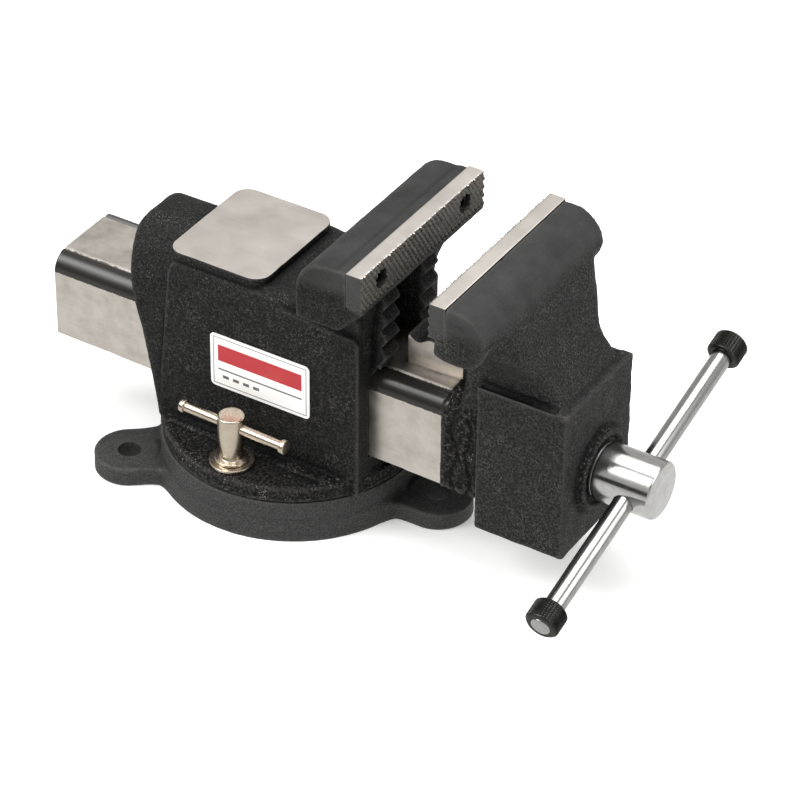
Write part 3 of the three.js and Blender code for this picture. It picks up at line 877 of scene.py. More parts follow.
@dataclass(frozen=True)
class SlideIron:
    """The beam's skin: milled bright on its flats, glossy black enamel left on its round corners."""

    name: str = "milled_beam_with_enamelled_corners"
    enamel: str = "#23221f"
    pale: str = "#dad4cc"
    dull: str = "#c2bbb1"
    flat_half_mm: float = 22.8
    flat_side_mm: float = 110.6
    bright_to_mm: float = 139.6
    chatter_mm: float = 1.6
    line_mm: float = 0.45
    run_mm: float = 30.0
    cloud_mm: float = 13.0
    enamel_roughness: float = 0.27

    def material(self) -> bpy.types.Material:
        """Builds the finish.

        Returns:
            The material.
        """
        material, tree, shader = new_material(self.name)
        place = add(tree, "ShaderNodeTexCoord").outputs["Object"]
        axes = add(tree, "ShaderNodeSeparateXYZ", {0: place}).outputs
        side = add(tree, "ShaderNodeMath", {0: axes["Y"]}, operation="ABSOLUTE").outputs[0]
        ragged = add(
            tree, "ShaderNodeTexNoise", {"Vector": place, "Scale": 1 / (self.chatter_mm * MM), "Detail": 3.0}
        ).outputs[0]

        def before(source: bpy.types.NodeSocket, limit: float, sway: float) -> bpy.types.NodeSocket:
            """Marks the places that are short of a ragged line.

            Args:
                source: The place along one axis.
                limit: The line's middle, in millimetres.
                sway: How far it strays.

            Returns:
                1 short of the line and 0 beyond it.
            """
            shift = add(
                tree, "ShaderNodeMath", {0: ragged, 1: sway * MM, 2: source}, operation="MULTIPLY_ADD"
            ).outputs[0]
            edge = {"Value": shift, "From Min": (limit - 0.15) * MM, "From Max": (limit + 0.15) * MM}
            return add(tree, "ShaderNodeMapRange", {**edge, "To Min": 1.0, "To Max": 0.0}).outputs[0]

        top = before(side, self.flat_half_mm + 0.9, 1.8)
        flank = before(axes["Z"], self.flat_side_mm + 0.6, 1.2)
        length = before(axes["X"], self.bright_to_mm + 1.2, 2.4)
        flats = add(tree, "ShaderNodeMath", {0: top, 1: flank}, operation="MAXIMUM").outputs[0]
        bright = add(tree, "ShaderNodeMath", {0: flats, 1: length}, operation="MULTIPLY").outputs[0]
        cloud = {"Vector": place, "Scale": 1 / (self.cloud_mm * MM), "Detail": 5.0, "Roughness": 0.62}
        clouds = add(tree, "ShaderNodeTexNoise", cloud).outputs[0]
        grain = 1 / (self.line_mm * MM)
        stretched = add(
            tree, "ShaderNodeMapping", {"Vector": place, "Scale": (1 / (self.run_mm * MM), grain, grain)}
        ).outputs[0]
        lines = add(tree, "ShaderNodeTexNoise", {"Vector": stretched, "Scale": 1.0, "Detail": 2.0}).outputs[0]
        tone = add(tree, "ShaderNodeMix", {"Factor": 0.25, 2: clouds, 3: lines}, data_type="FLOAT").outputs[0]
        metal = ramp(tree, tone, [(0.36, self.dull), (0.6, self.pale)])
        colour = add(
            tree, "ShaderNodeMix", {"Factor": bright, 6: linear(self.enamel), 7: metal}, data_type="RGBA"
        ).outputs[2]
        satin = {"Value": tone, "From Min": 0.3, "From Max": 0.7, "To Min": 0.3, "To Max": 0.42}
        rough = add(tree, "ShaderNodeMapRange", satin).outputs[0]
        either = {"Factor": bright, 2: self.enamel_roughness, 3: rough}
        rough = add(tree, "ShaderNodeMix", either, data_type="FLOAT").outputs[0]
        bump = add(
            tree, "ShaderNodeBump", {"Strength": 0.35, "Distance": 0.06 * MM, "Height": ragged}
        ).outputs[0]
        wires = {"Base Color": colour, "Roughness": rough, "Normal": bump, "Metallic": bright}
        for name, value in wires.items():
            tree.links.new(value, shader.inputs[name])
        return material


@dataclass(frozen=True)
class PrintedFilm:
    """White printed vinyl film: smooth and clean, with a red band and a fine grey frame and rule."""

    name: str = "printed_white_vinyl_film"
    white: str = "#f4f2f0"
    red: str = "#b3242c"
    grey: str = "#5c5c5e"

    def material(self, centre: tuple[float, float], half: tuple[float, float]) -> bpy.types.Material:
        """Builds the printed film.

        Args:
            centre: The film's middle along X and Z, in millimetres.
            half: Half its width and height.

        Returns:
            The material.
        """
        material, tree, shader = new_material(self.name)
        place = add(tree, "ShaderNodeTexCoord").outputs["Object"]
        axes = add(tree, "ShaderNodeSeparateXYZ", {0: place}).outputs

        def bar(x: float, z: float, wide: float, high: float) -> bpy.types.NodeSocket:
            """Marks a printed bar.

            Args:
                x: Its middle from the film's middle, along X, in millimetres.
                z: Its middle along Z.
                wide: Half its width.
                high: Half its height.

            Returns:
                1 inside the bar and 0 outside.
            """
            parts = []
            for axis, middle, reach in (("X", centre[0] + x, wide), ("Z", centre[1] + z, high)):
                near = {0: axes[axis], 1: middle * MM, 2: reach * MM}
                parts.append(add(tree, "ShaderNodeMath", near, operation="COMPARE").outputs[0])
            return add(tree, "ShaderNodeMath", {0: parts[0], 1: parts[1]}, operation="MULTIPLY").outputs[0]

        wide, high = half
        frame_outer = bar(0, 0, wide - 2.2, high - 2.2)
        frame_inner = bar(0, 0, wide - 2.8, high - 2.8)
        line = add(tree, "ShaderNodeMath", {0: frame_outer, 1: frame_inner}, operation="SUBTRACT").outputs[0]
        layers = [(line, self.grey), (bar(0, 6.5, wide - 6, 6.5), self.red)]
        layers += [(bar(0, -6.5, wide - 6, 0.6), self.grey)]
        layers += [(bar(-wide + 12 + 8 * i, -12.0, 2.4, 1.2), self.grey) for i in range(4)]
        paint = linear(self.white)
        for mask, ink in layers:
            paint = add(
                tree, "ShaderNodeMix", {"Factor": mask, 6: paint, 7: linear(ink)}, data_type="RGBA"
            ).outputs[2]
        tree.links.new(paint, shader.inputs["Base Color"])
        shader.inputs["Roughness"].default_value = 0.32
        return material


# ---------------------------------------------------------------- castings


@dataclass
class SwivelBase:
    """The round base casting: a disc with three bolt ears and a round slot for the lock nuts."""

    bottom_radius: float = 95.0
    top_radius: float = 90.4
    height: float = 28.2
    hole_circle: float = 112.8
    ear_radius: float = 24.2
    ear_height: float = 13.7
    hole_radius: float = 8.0
    ear_angles: tuple[float, ...] = (1.2, 109.4, 217.6)
    ear_root: float = 24.0
    spot_face: float = 2.6
    slot_radius: float = 72.0
    slot_half: float = 7.6
    undercut_half: float = 13.0
    undercut: tuple[float, float] = (9.0, 18.0)
    spigot_radius: float = 20.4
    spigot_floor: float = 16.5
    entry_deg: float = 163.0
    entry_radius: float = 13.0

    def shape(self, x: Array, y: Array, z: Array) -> Array:
        """Measures the signed distance to the casting.

        Args:
            x: Places along X, in millimetres.
            y: Places along Y.
            z: Places along Z.

        Returns:
            The distances, negative inside.
        """
        r = np.hypot(x, y)
        lean = (self.bottom_radius - self.top_radius) / self.height
        wall = (r - self.bottom_radius + lean * z) / math.hypot(1, lean)
        body = keep(wall, slab(z, 0, self.height), 1.0)
        spots = []
        for angle in self.ear_angles:
            c, s = math.cos(math.radians(angle)), math.sin(math.radians(angle))
            from_hole = np.hypot(x * c + y * s - self.hole_circle, y * c - x * s)
            plan = join(from_hole - self.ear_radius, r - self.bottom_radius + 4, self.ear_root)
            body = join(body, keep(plan, slab(z, 0, self.ear_height), 1.8), 3.5)
            spots.append(from_hole)
        mid_height = np.clip(z / 4, 0, 1) * np.clip((self.height - z) / 4, 0, 1)
        body = body - 0.2 * waviness(x, y, z, 26) * mid_height
        for from_hole in spots:
            spot = from_hole - self.ear_radius + self.spot_face
            body = carve(body, np.maximum(spot, self.ear_height - z), 0.5)
            body = carve(body, from_hole - self.hole_radius, 0.8)
        gap = np.abs(r - self.slot_radius)
        floor, ceiling = self.undercut
        body = carve(body, np.maximum(gap - self.slot_half, ceiling - 1 - z))
        body = carve(body, np.maximum(gap - self.undercut_half, slab(z, floor, ceiling)))
        body = carve(body, np.maximum(r - self.spigot_radius, self.spigot_floor - z))
        c, s = math.cos(math.radians(self.entry_deg)), math.sin(math.radians(self.entry_deg))
        entry = np.hypot(x - c * self.slot_radius, y - s * self.slot_radius)
        return np.maximum(carve(body, np.maximum(entry - self.entry_radius, z - floor - 1)), -z)

    def build(self, foundry: Foundry, coat: bpy.types.Material) -> None:
        """Builds the base and puts it on its body.

        Args:
            foundry: Casts it.
            coat: Its finish.
        """
        base = cast_in_box(foundry, "swivel_base", "base_plate", self.shape)
        set_finishes(base, [coat], lambda centres, normals: np.zeros(len(centres)))
        hand_over(base, "base", "coated_iron", "base_plate")


@dataclass
class Beam:
    """The sliding beam's section, which the body's tunnel follows too."""

    half: float = 36.0
    top: float = 123.7
    corner: float = 13.5
    rear: float = -171.0
    machined_to: float = 137.0
    wall: float = 14.0
    roof: float = 12.0
    section: Outline = field(init=False)
    channel: Outline = field(init=False)

    def __post_init__(self) -> None:
        """Works out the section and the channel below it."""
        self.section = Outline.mirrored((self.half, 20), (self.half, self.top, self.corner))
        inner = self.half - self.wall
        self.channel = Outline.mirrored((inner, 0), (inner, self.top - self.roof, 4))


@dataclass
class JawBody:
    """The swivelling body casting: skirt, tower, rear hood, anvil, fixed jaw and its toothed ribs."""

    beam: Beam
    skirt_radius: float = 90.0
    skirt_bottom: float = 28.5
    skirt_top: float = 40.0
    half: float = 50.0
    front: float = 82.0
    anvil_top: float = 171.3
    jaw_top: float = 224.7
    jaw_half: float = 75.0
    seat_x: float = 88.2
    seat_z: float = 200.4
    front_limit: float = 100.6
    rib_pitch: float = 13.8
    rib_top: float = 177.0
    rib_tip: float = 93.0
    screw_z: float = 213.2
    lock_x: float = -3.0
    lock_y: float = 72.0

    def __post_init__(self) -> None:
        """Works out the outlines."""
        self.tower_side = Outline(
            (-76, 30), (self.front, 30), (self.front, 152, 3), (78, 156, 4), (30, 158, 20), (0, 163.5, 20),
            (-66, 163.5, 4), (-75, 74),
        )
        self.tower_front = Outline.mirrored((self.half, 30), (self.half, 156, 1.2), (46, 164, 1))
        self.hood_side = Outline(
            (-60, 35), (-60, 165), (-71, 170, 1), (-80, 173, 6), (-103, 173, 6), (-110, 166, 7),
            (-103.5, 135, 40), (-92.5, 100, 40), (-83.5, 60, 30), (-79, 35),
        )
        arch = [(47 * math.cos(t), 110 + 63.5 * math.sin(t)) for t in np.linspace(0, math.pi, 25)]
        self.hood_arch = Outline((-50, 34), (50, 34), *arch)
        self.anvil_plan = Outline(
            (-70.2, -45.4, 11), (4.8, -45.4, 11), (4.8, 45.4, 11), (-70.2, 45.4, 11)
        )
        self.saddle = Outline(
            (-10, 140), (-10, 164, 2), (14, 165.5, 20), (34, 172, 24), (48, 182, 20), (58, 198), (66, 214),
            (86, 214), (86, 178, 8), (self.front, 150), (self.front, 140),
        )
        self.bar_side = Outline(
            (104, 230), (104, 201.2), (100.6, 197.6, 0.8), (84, 181, 4), (80, 150, 4), (58, 150, 6),
            (50, 178, 16), (50, self.jaw_top, 23), (80, self.jaw_top), (80, 230),
        )
        self.bar_front = Outline.mirrored(
            (46, 142, 4), (46.5, 180.5, 24), (self.jaw_half, 178.5, 3), (self.jaw_half, self.jaw_top, 2)
        )

    def ribs(self, x: Array, y: Array, z: Array) -> Array:
        """Measures the signed distance to the two upright ribs with their round teeth.

        Args:
            x: Places along X, in millimetres.
            y: Places along Y.
            z: Places along Z.

        Returns:
            The distances, negative inside.
        """
        profile = np.maximum(x - self.rib_tip + 5, slab(z, 118, self.rib_top + 6.9))
        for i in range(4):
            up = np.abs(z - self.rib_top + i * self.rib_pitch)
            flank = (x - self.rib_tip + 5) * 0.82 + (up - 7.0) * 0.57
            profile = join(profile, np.maximum(keep(flank, x - self.rib_tip, 1.6), self.rib_tip - 9 - x), 0.8)
        return keep(np.maximum(profile, 70 - x), slab(np.abs(y), 15, 32), 1.2)

    def shape(self, x: Array, y: Array, z: Array) -> Array:
        """Measures the signed distance to the casting.

        Args:
            x: Places along X, in millimetres.
            y: Places along Y.
            z: Places along Z.

        Returns:
            The distances, negative inside.
        """
        r = np.hypot(x, y)
        side = np.abs(y)
        skirt = keep(r - self.skirt_radius, slab(z, self.skirt_bottom, self.skirt_top), 2.4)
        pad = keep(np.maximum(r - 86.5, side - 59 - 0.03 * x), slab(z, 32, self.skirt_top + 1.3), 1.2)
        tower = keep(self.tower_side.distance(x, z), self.tower_front.distance(y, z), 1.4)
        hood = keep(self.hood_side.distance(x, z), self.hood_arch.distance(y, z), 4)
        anvil = keep(self.anvil_plan.distance(x, y), slab(z, 140, self.anvil_top + 2), 0.5)
        saddle = keep(self.saddle.distance(x, z), side - 46, 7)
        bar = keep(self.bar_side.distance(x, z), self.bar_front.distance(y, z), 3)
        upper = join(join(tower, hood, 1.2), anvil, 0.6)
        upper = join(join(upper, saddle, 2.5), bar, 3)
        whole = join(join(skirt, pad, 0.8), upper, 3)
        whole = whole - 0.16 * waviness(x, y, z, 26)
        whole = np.maximum(whole, z - self.jaw_top)
        whole = join(whole, self.ribs(x, y, z), 1.5)
        whole = np.maximum(whole, self.skirt_bottom - z)
        whole = join(whole, np.maximum(r - 20, slab(z, 17, 34)))
        return self.machine(whole, x, y, z, r, side)

    def machine(self, whole: Array, x: Array, y: Array, z: Array, r: Array, side: Array) -> Array:
        """Cuts what is machined.

        Args:
            whole: Distance to the rough casting.
            x: Places along X, in millimetres.
            y: Places along Y.
            z: Places along Z.
            r: Distance from the swivel axis.
            side: Distance from the middle plane.

        Returns:
            Distance to the finished casting.
        """
        whole = carve(whole, np.maximum(self.anvil_top - z, self.anvil_plan.distance(x, y) - 0.5))
        whole = carve(whole, np.maximum(self.seat_x - x, self.seat_z - z))
        whole = np.maximum(whole, x - self.front_limit)
        tunnel = np.maximum(self.beam.section.distance(y, z) - 0.4, 54.7 - z)
        whole = carve(whole, tunnel, 1.0)
        whole = carve(whole, np.maximum(slab(x, 48, 130), np.maximum(side - 15, slab(z, 112, 178))), 1)
        whole = carve(whole, np.maximum(83 - x, np.maximum(side - 33, slab(z, 119.5, 126))))
        for centre in (-self.lock_y, self.lock_y):
            whole = carve(whole, np.maximum(np.hypot(x - self.lock_x, y - centre) - 7, z - 60))
        for centre in (-33, 39):
            from_bolt = np.hypot(x - centre, y)
            whole = carve(whole, np.maximum(from_bolt - 5.4, z - 56))
            whole = carve(whole, np.maximum(from_bolt - 9.5, z - 36.3))
        screw = np.maximum(np.hypot(side - 51, z - self.screw_z) - 4.3, 70 - x)
        return carve(whole, screw)

    def choose(self, centres: Array, normals: Array) -> Array:
        """Chooses a finish for each face.

        Args:
            centres: Face centres in millimetres.
            normals: Face normals.

        Returns:
            1 for the anvil's ground top, 2 for the skirt and 0 elsewhere.
        """
        level = (centres[:, 2] > self.anvil_top - 0.1) & (centres[:, 2] < self.anvil_top + 0.1)
        anvil = level & (centres[:, 0] > -70.6) & (centres[:, 0] < 5.2) & (normals[:, 2] > 0.95)
        return np.where(anvil, 1, np.where(centres[:, 2] < self.skirt_top + 3.5, 2, 0))

    def build(self, foundry: Foundry, *finishes: bpy.types.Material) -> None:
        """Builds the body casting and puts it on its body.

        Args:
            foundry: Casts it.
            finishes: Those of its sides, its ground anvil and its skirt.
        """
        body = cast_in_box(foundry, "vise_body", "swivel_body", self.shape)
        set_finishes(body, list(finishes), self.choose)
        hand_over(body, "swivel", "coated_iron", "swivel_body")


@dataclass
class SlidingJaw:
    """The sliding casting: beam, front block, jaw tower, moving jaw and its toothed horn."""

    beam: Beam
    block_x: tuple[float, float] = (166.7, 233.3)
    block_half: float = 43.0
    block_z: tuple[float, float] = (36.2, 150.5)
    wall: float = 11.3
    screw_z: float = 85.2
    boss_radius: float = 28.0
    boss_x: float = 236.3
    lip_radius: float = 25.6
    lip_half: float = 2.2
    jaw_top: float = 224.7
    jaw_half: float = 75.0
    seat_x: float = 161.5
    seat_z: float = 200.4
    jaw_screw_z: float = 213.2
    horn_half: float = 12.0

    def __post_init__(self) -> None:
        """Works out the outlines."""
        (x0, x1), (z0, z1) = self.block_x, self.block_z
        self.block_side = Outline((x0, z0, 2.5), (x1, z0, 3), (x1, z1, 2), (x0, z1, 2))
        self.rise = Outline(
            (146, 112), (152, 140), (153.7, 189), (160, 214), (184, 214, 4), (199, 201, 10), (203, 186, 30),
            (213, 166, 30), (230, 148, 3), (230, 112),
        )
        self.flare = Outline.mirrored((37, 110), (37, 190, 35), (self.jaw_half, 189, 2), (self.jaw_half, 218))
        self.bar_side = Outline(
            (153.7, 189, 1.5), (153.7, 230), (162, 230), (162, self.jaw_top), (191, self.jaw_top, 23),
            (191, 180, 19),
        )

    def horn(self, x: Array, y: Array, z: Array) -> Array:
        """Measures the signed distance to the horn with its hollow toothed curve.

        Args:
            x: Places along X, in millimetres.
            y: Places along Y.
            z: Places along Z.

        Returns:
            The distances, negative inside.
        """
        across, up = x - 104, z - 192
        turn = np.arctan2(up, across)
        hollow = np.hypot(across, up) - 48 - 1.6 * np.cos(turn * 16)
        profile = keep(np.maximum(slab(x, 96.5, 165), slab(z, 115, 191)), -hollow, 1.2)
        return keep(profile, np.abs(y) - self.horn_half, 1.0)

    def shape(self, x: Array, y: Array, z: Array) -> Array:
        """Measures the signed distance to the casting.

        Args:
            x: Places along X, in millimetres.
            y: Places along Y.
            z: Places along Z.

        Returns:
            The distances, negative inside.
        """
        side = np.abs(y)
        (x0, x1), (z0, z1) = self.block_x, self.block_z
        block = keep(self.block_side.distance(x, z), side - self.block_half, 2.2)
        tower = keep(self.rise.distance(x, z), self.flare.distance(y, z), 7)
        tower = keep(tower, (x + 1.05 * side - 252.5 - 0.38 * np.maximum(0, 190 - z)) / 1.5, 5)
        bar = keep(self.bar_side.distance(x, z), side - self.jaw_half, 2.5)
        upper = join(tower, bar, 6)
        groove = np.hypot(side - self.block_half + 3.2, z - z1 - 0.3) - 2.6
        body = join(block, upper, 1.5)
        body = carve(body, np.maximum(groove, slab(x, x0 + 2, x1 - 9)), 1.4)
        neck_skin = self.beam.section.distance(y, z) - 1.0
        neck = keep(np.maximum(neck_skin, 55.2 - z), slab(x, self.beam.machined_to, x0 + 5), 1.0)
        rough = np.clip((x - 136) / 4, 0, 1) * np.clip((x0 + 3 - x) / 4, 0, 1)
        for centre, sway in ((147, 2.6), (158, -2.0)):
            crease = np.hypot(x - centre - sway * np.sin(z / 6.0), side - 37.4) - 1.5
            neck = carve(neck, crease, 1.5)
        neck = neck - 0.55 * rough * waviness(x, y, z, 9)
        boss = keep(np.hypot(y, z - self.screw_z) - self.boss_radius, slab(x, x1 - 6, self.boss_x), 1.2)
        round_lip = np.abs(np.hypot(y, z - self.screw_z) - self.lip_radius) - self.lip_half
        lip = keep(round_lip, slab(x, x1 - 6, self.boss_x + self.lip_half), 1.6)
        body = join(join(body, boss, 4), lip, 1.0)
        body = join(body, neck, 1.4)
        body = body - 0.28 * waviness(x, y, z, 22)
        beam_end = slab(x, self.beam.rear, x0 + 10)
        bottom = (60.6 - 0.01553 * (x + 171)) - z
        bar_of_beam = keep(np.maximum(self.beam.section.distance(y, z), bottom), beam_end, 0.6)
        step = np.maximum(np.hypot(side - 23.6, z - self.beam.top - 0.5) - 1.7, x - self.beam.machined_to - 1)
        bar_of_beam = carve(bar_of_beam, step)
        body = join(body, bar_of_beam)
        body = join(body, self.horn(x, y, z), 1.5)
        return self.machine(body, x, y, z, side)

    def machine(self, body: Array, x: Array, y: Array, z: Array, side: Array) -> Array:
        """Cuts what is machined and what is cored.

        Args:
            body: Distance to the rough casting.
            x: Places along X, in millimetres.
            y: Places along Y.
            z: Places along Z.
            side: Distance from the middle plane.

        Returns:
            Distance to the finished casting.
        """
        (x0, x1), (z0, z1) = self.block_x, self.block_z
        body = np.maximum(body, z - self.jaw_top)
        body = carve(body, np.maximum(x - self.seat_x, self.seat_z - z))
        body = carve(body, np.maximum(self.beam.channel.distance(y, z), x - x1 + self.wall), 0.8)
        hollow = np.maximum(side - self.block_half + self.wall, slab(x, x0 + 10, x1 - self.wall))
        body = carve(body, np.maximum(hollow, z - self.beam.top + self.beam.roof), 1.5)
        body = carve(body, np.maximum(np.hypot(y, z - self.screw_z) - 14.4, x1 - 20 - x))
        return carve(body, np.maximum(np.hypot(side - 51, z - self.jaw_screw_z) - 4.3, x - self.seat_x - 17))

    def choose(self, centres: Array, normals: Array) -> Array:
        """Chooses a finish for each face.

        Args:
            centres: Face centres in millimetres.
            normals: Face normals.

        Returns:
            1 for the machined beam and the horn's foot, 2 for the rough neck and boss, whose darker coat is
            rough cast texture and also painted shade for their recesses, and 0 elsewhere.
        """
        x, side, z = centres[:, 0], np.abs(centres[:, 1]), centres[:, 2]
        flank = side > 35.5
        on_beam = (x < 139.5) & (z < 124.2) & (side < 36.3) & (flank | (z > 110)) & (normals[:, 2] > -0.5)
        on_beam &= (normals[:, 2] > 0.05) | flank
        end = (x < -170.5) & (normals[:, 0] < -0.9)
        foot = (side < 12.2) & (z > 123.5) & (z < 148) & (x < 139) & (np.abs(normals[:, 1]) > 0.7)
        # Neck and boss take the darker rough coat: rough cast texture, partly also painted shade in the
        # recess between beam and block and in the cup round the screw head.
        neck = (x > 139) & (x < self.block_x[0] - 0.5) & (side < 39.5) & (z < 126)
        from_screw = np.hypot(side, z - self.screw_z)
        boss = (x > self.block_x[1] - 0.2) & (from_screw < self.boss_radius + 3)
        return np.where(on_beam | end | foot, 1, np.where(neck | boss, 2, 0))

    def build(self, foundry: Foundry, *finishes: bpy.types.Material) -> None:
        """Builds the sliding jaw and puts it on its body.

        Args:
            foundry: Casts it.
            finishes: Those of its sides, its beam, and its neck and boss, the last darker partly as painted
                shade.
        """
        jaw = cast_in_box(foundry, "sliding_jaw", "moving_jaw", self.shape, headroom=2.0)
        set_finishes(jaw, list(finishes), self.choose)
        hand_over(jaw, "slide", "coated_iron", "moving_jaw")


@dataclass
class JawPlate:
    """A hardened jaw plate: two crossing rows of V grooves on its gripping face, and two sunk screw holes."""

    jaw: Jaw
    half: float = 75.0
    low: float = 200.7
    high: float = 225.7
    thick: float = 12.5
    pitch: float = 3.5
    depth: float = 1.2
    lean_deg: float = 57.0
    lip: float = 0.7
    shy: float = 0.25
    edge: float = 0.4
    screw_y: float = 51.0
    screw_z: float = 213.2
    bore_radius: float = 4.3
    head_radius: float = 6.8
    head_floor: float = 9.5

    def shape(self, x: Array, y: Array, z: Array) -> Array:
        """Measures the signed distance to the plate.

        Args:
            x: Places along X, in millimetres.
            y: Places along Y.
            z: Places along Z.

        Returns:
            The distances, negative inside.
        """
        inward = (self.jaw.face_x - x) * self.jaw.facing
        front = np.maximum(np.abs(y) - self.half, slab(z, self.low, self.high))
        plate = keep(slab(inward, self.shy, self.thick), front, self.edge)
        lean = math.radians(self.lean_deg)
        for way in (1, -1):
            across = (y * math.sin(lean) + way * (z - self.low) * math.cos(lean)) / self.pitch
            off = np.abs(across - np.floor(across) - 0.5) * self.pitch
            groove = (inward + off - self.depth - self.shy) * math.sqrt(0.5)
            plate = carve(plate, np.maximum(groove, z - self.high + self.lip))
        bore = np.hypot(np.abs(y) - self.screw_y, z - self.screw_z)
        plate = carve(plate, bore - self.bore_radius)
        return carve(plate, np.maximum(bore - self.head_radius, inward - self.head_floor))

    def choose(self, centres: Array, normals: Array) -> Array:
        """Returns 1 for the ground top, 2 for the ends, which are coated with the jaw, and 0 elsewhere."""
        top = (normals[:, 2] > 0.9) & (centres[:, 2] > self.high - 0.2)
        return np.where(top, 1, np.where(np.abs(normals[:, 1]) > 0.97, 2, 0))

    def build(self, foundry: Foundry, *finishes: bpy.types.Material) -> None:
        """Builds the plate and puts it on its body.

        Args:
            foundry: Cuts it.
            finishes: Those of its gripping face, its ground top and its ends.
        """
        node = f"{self.jaw.word}_jaw_plate"
        plate = cast_in_box(foundry, node + "_serrated", node, self.shape)
        set_finishes(plate, list(finishes), self.choose)
        hand_over(plate, self.jaw.body, "jaw_steel", node)


@dataclass
class JawScrews:
    """The pair of socket-head screws that hold one jaw plate."""

    jaw: Jaw
    y: float = 51.0
    z: float = 213.2
    sunk: float = 3.2
    length: float = 28.0
    shank: float = 4.0
    head: float = 6.5
    head_depth: float = 6.0
    key: float = 3.4
    key_depth: float = 3.5

    def one(self) -> bpy.types.Object:
        """Returns one screw, head at local zero and shank along local -X."""
        tip = self.sunk - self.length
        neck = -self.head_depth
        corners = [
            (tip, 0), (tip, self.shank, 0.7), (neck, self.shank), (neck, self.head, 0.3),
            (0, self.head, 0.7), (0, 0),
        ]
        screw = lathe("screw_pattern", corners, about(0, 0, 0), sides=32)
        floor = -self.key_depth
        hexagon = [(floor, 0), (floor, self.key), (1, self.key), (1, 0)]
        key = lathe("key_tool", hexagon, about(0, 0, 0), sides=6)
        cut_away(screw, key)
        return screw

    @staticmethod
    def row_tree() -> bpy.types.NodeTree:
        """Returns the tree that sets copies of a screw in a row."""
        tree = bpy.data.node_groups.new("screw_row", "GeometryNodeTree")
        given = declare(
            tree, ("Screw", "Object"), ("Finish", "Material"),
            ("Start", "Vector"), ("Step", "Vector"), ("Turn", "Float"),
        )
        line = add(
            tree,
            "GeometryNodeMeshLine",
            {"Count": 2, "Start Location": given["Start"], "Offset": given["Step"]},
        ).outputs[0]
        screw = add(tree, "GeometryNodeObjectInfo", {"Object": given["Screw"]}).outputs["Geometry"]
        turn = add(tree, "ShaderNodeCombineXYZ", {"Z": given["Turn"]}).outputs[0]
        copies = add(
            tree, "GeometryNodeInstanceOnPoints", {"Points": line, "Instance": screw, "Rotation": turn}
        ).outputs[0]
        solid = add(tree, "GeometryNodeRealizeInstances", {0: copies}).outputs[0]
        add(tree, "NodeGroupOutput", {0: dress(tree, solid, given["Finish"])})
        return tree

    def build(self, tree: bpy.types.NodeTree, black: bpy.types.Material) -> None:
        """Builds the pair and puts it on its body.

        Args:
            tree: The tree that sets the row.
            black: The screws' finish.
        """
        pattern = self.one()
        jaw = self.jaw
        name = f"{jaw.word}_jaw_screws"
        screws = new_object(name, bpy.data.meshes.new(name))
        start = (jaw.face_x - jaw.facing * self.sunk, -self.y, self.z)
        values = {
            "Screw": pattern,
            "Finish": black,
            "Start": [v * MM for v in start],
            "Step": (0, 2 * self.y * MM, 0),
            "Turn": 0.0 if jaw.facing > 0 else math.pi,
        }
        run_tree(screws, tree, values)
        bpy.data.objects.remove(pattern)
        nodes = [f"{jaw.word}_jaw_screw_{side.word}" for side in Side]
        hand_over(screws, jaw.body, "black_steel", *nodes)


def run_tree(piece: bpy.types.Object, tree: bpy.types.NodeTree, values: dict[str, object]) -> None:
    """Runs a geometry tree on a piece and keeps the result as plain mesh.

    Args:
        piece: The piece.
        tree: The tree.
        values: A value for each of the tree's named inputs.
    """
    modifier = piece.modifiers.new(tree.name, "NODES")
    modifier.node_group = tree
    for item in tree.interface.items_tree:
        if item.in_out == "INPUT" and item.name in values:
            modifier[item.identifier] = values[item.name]
    bake_modifiers(piece)


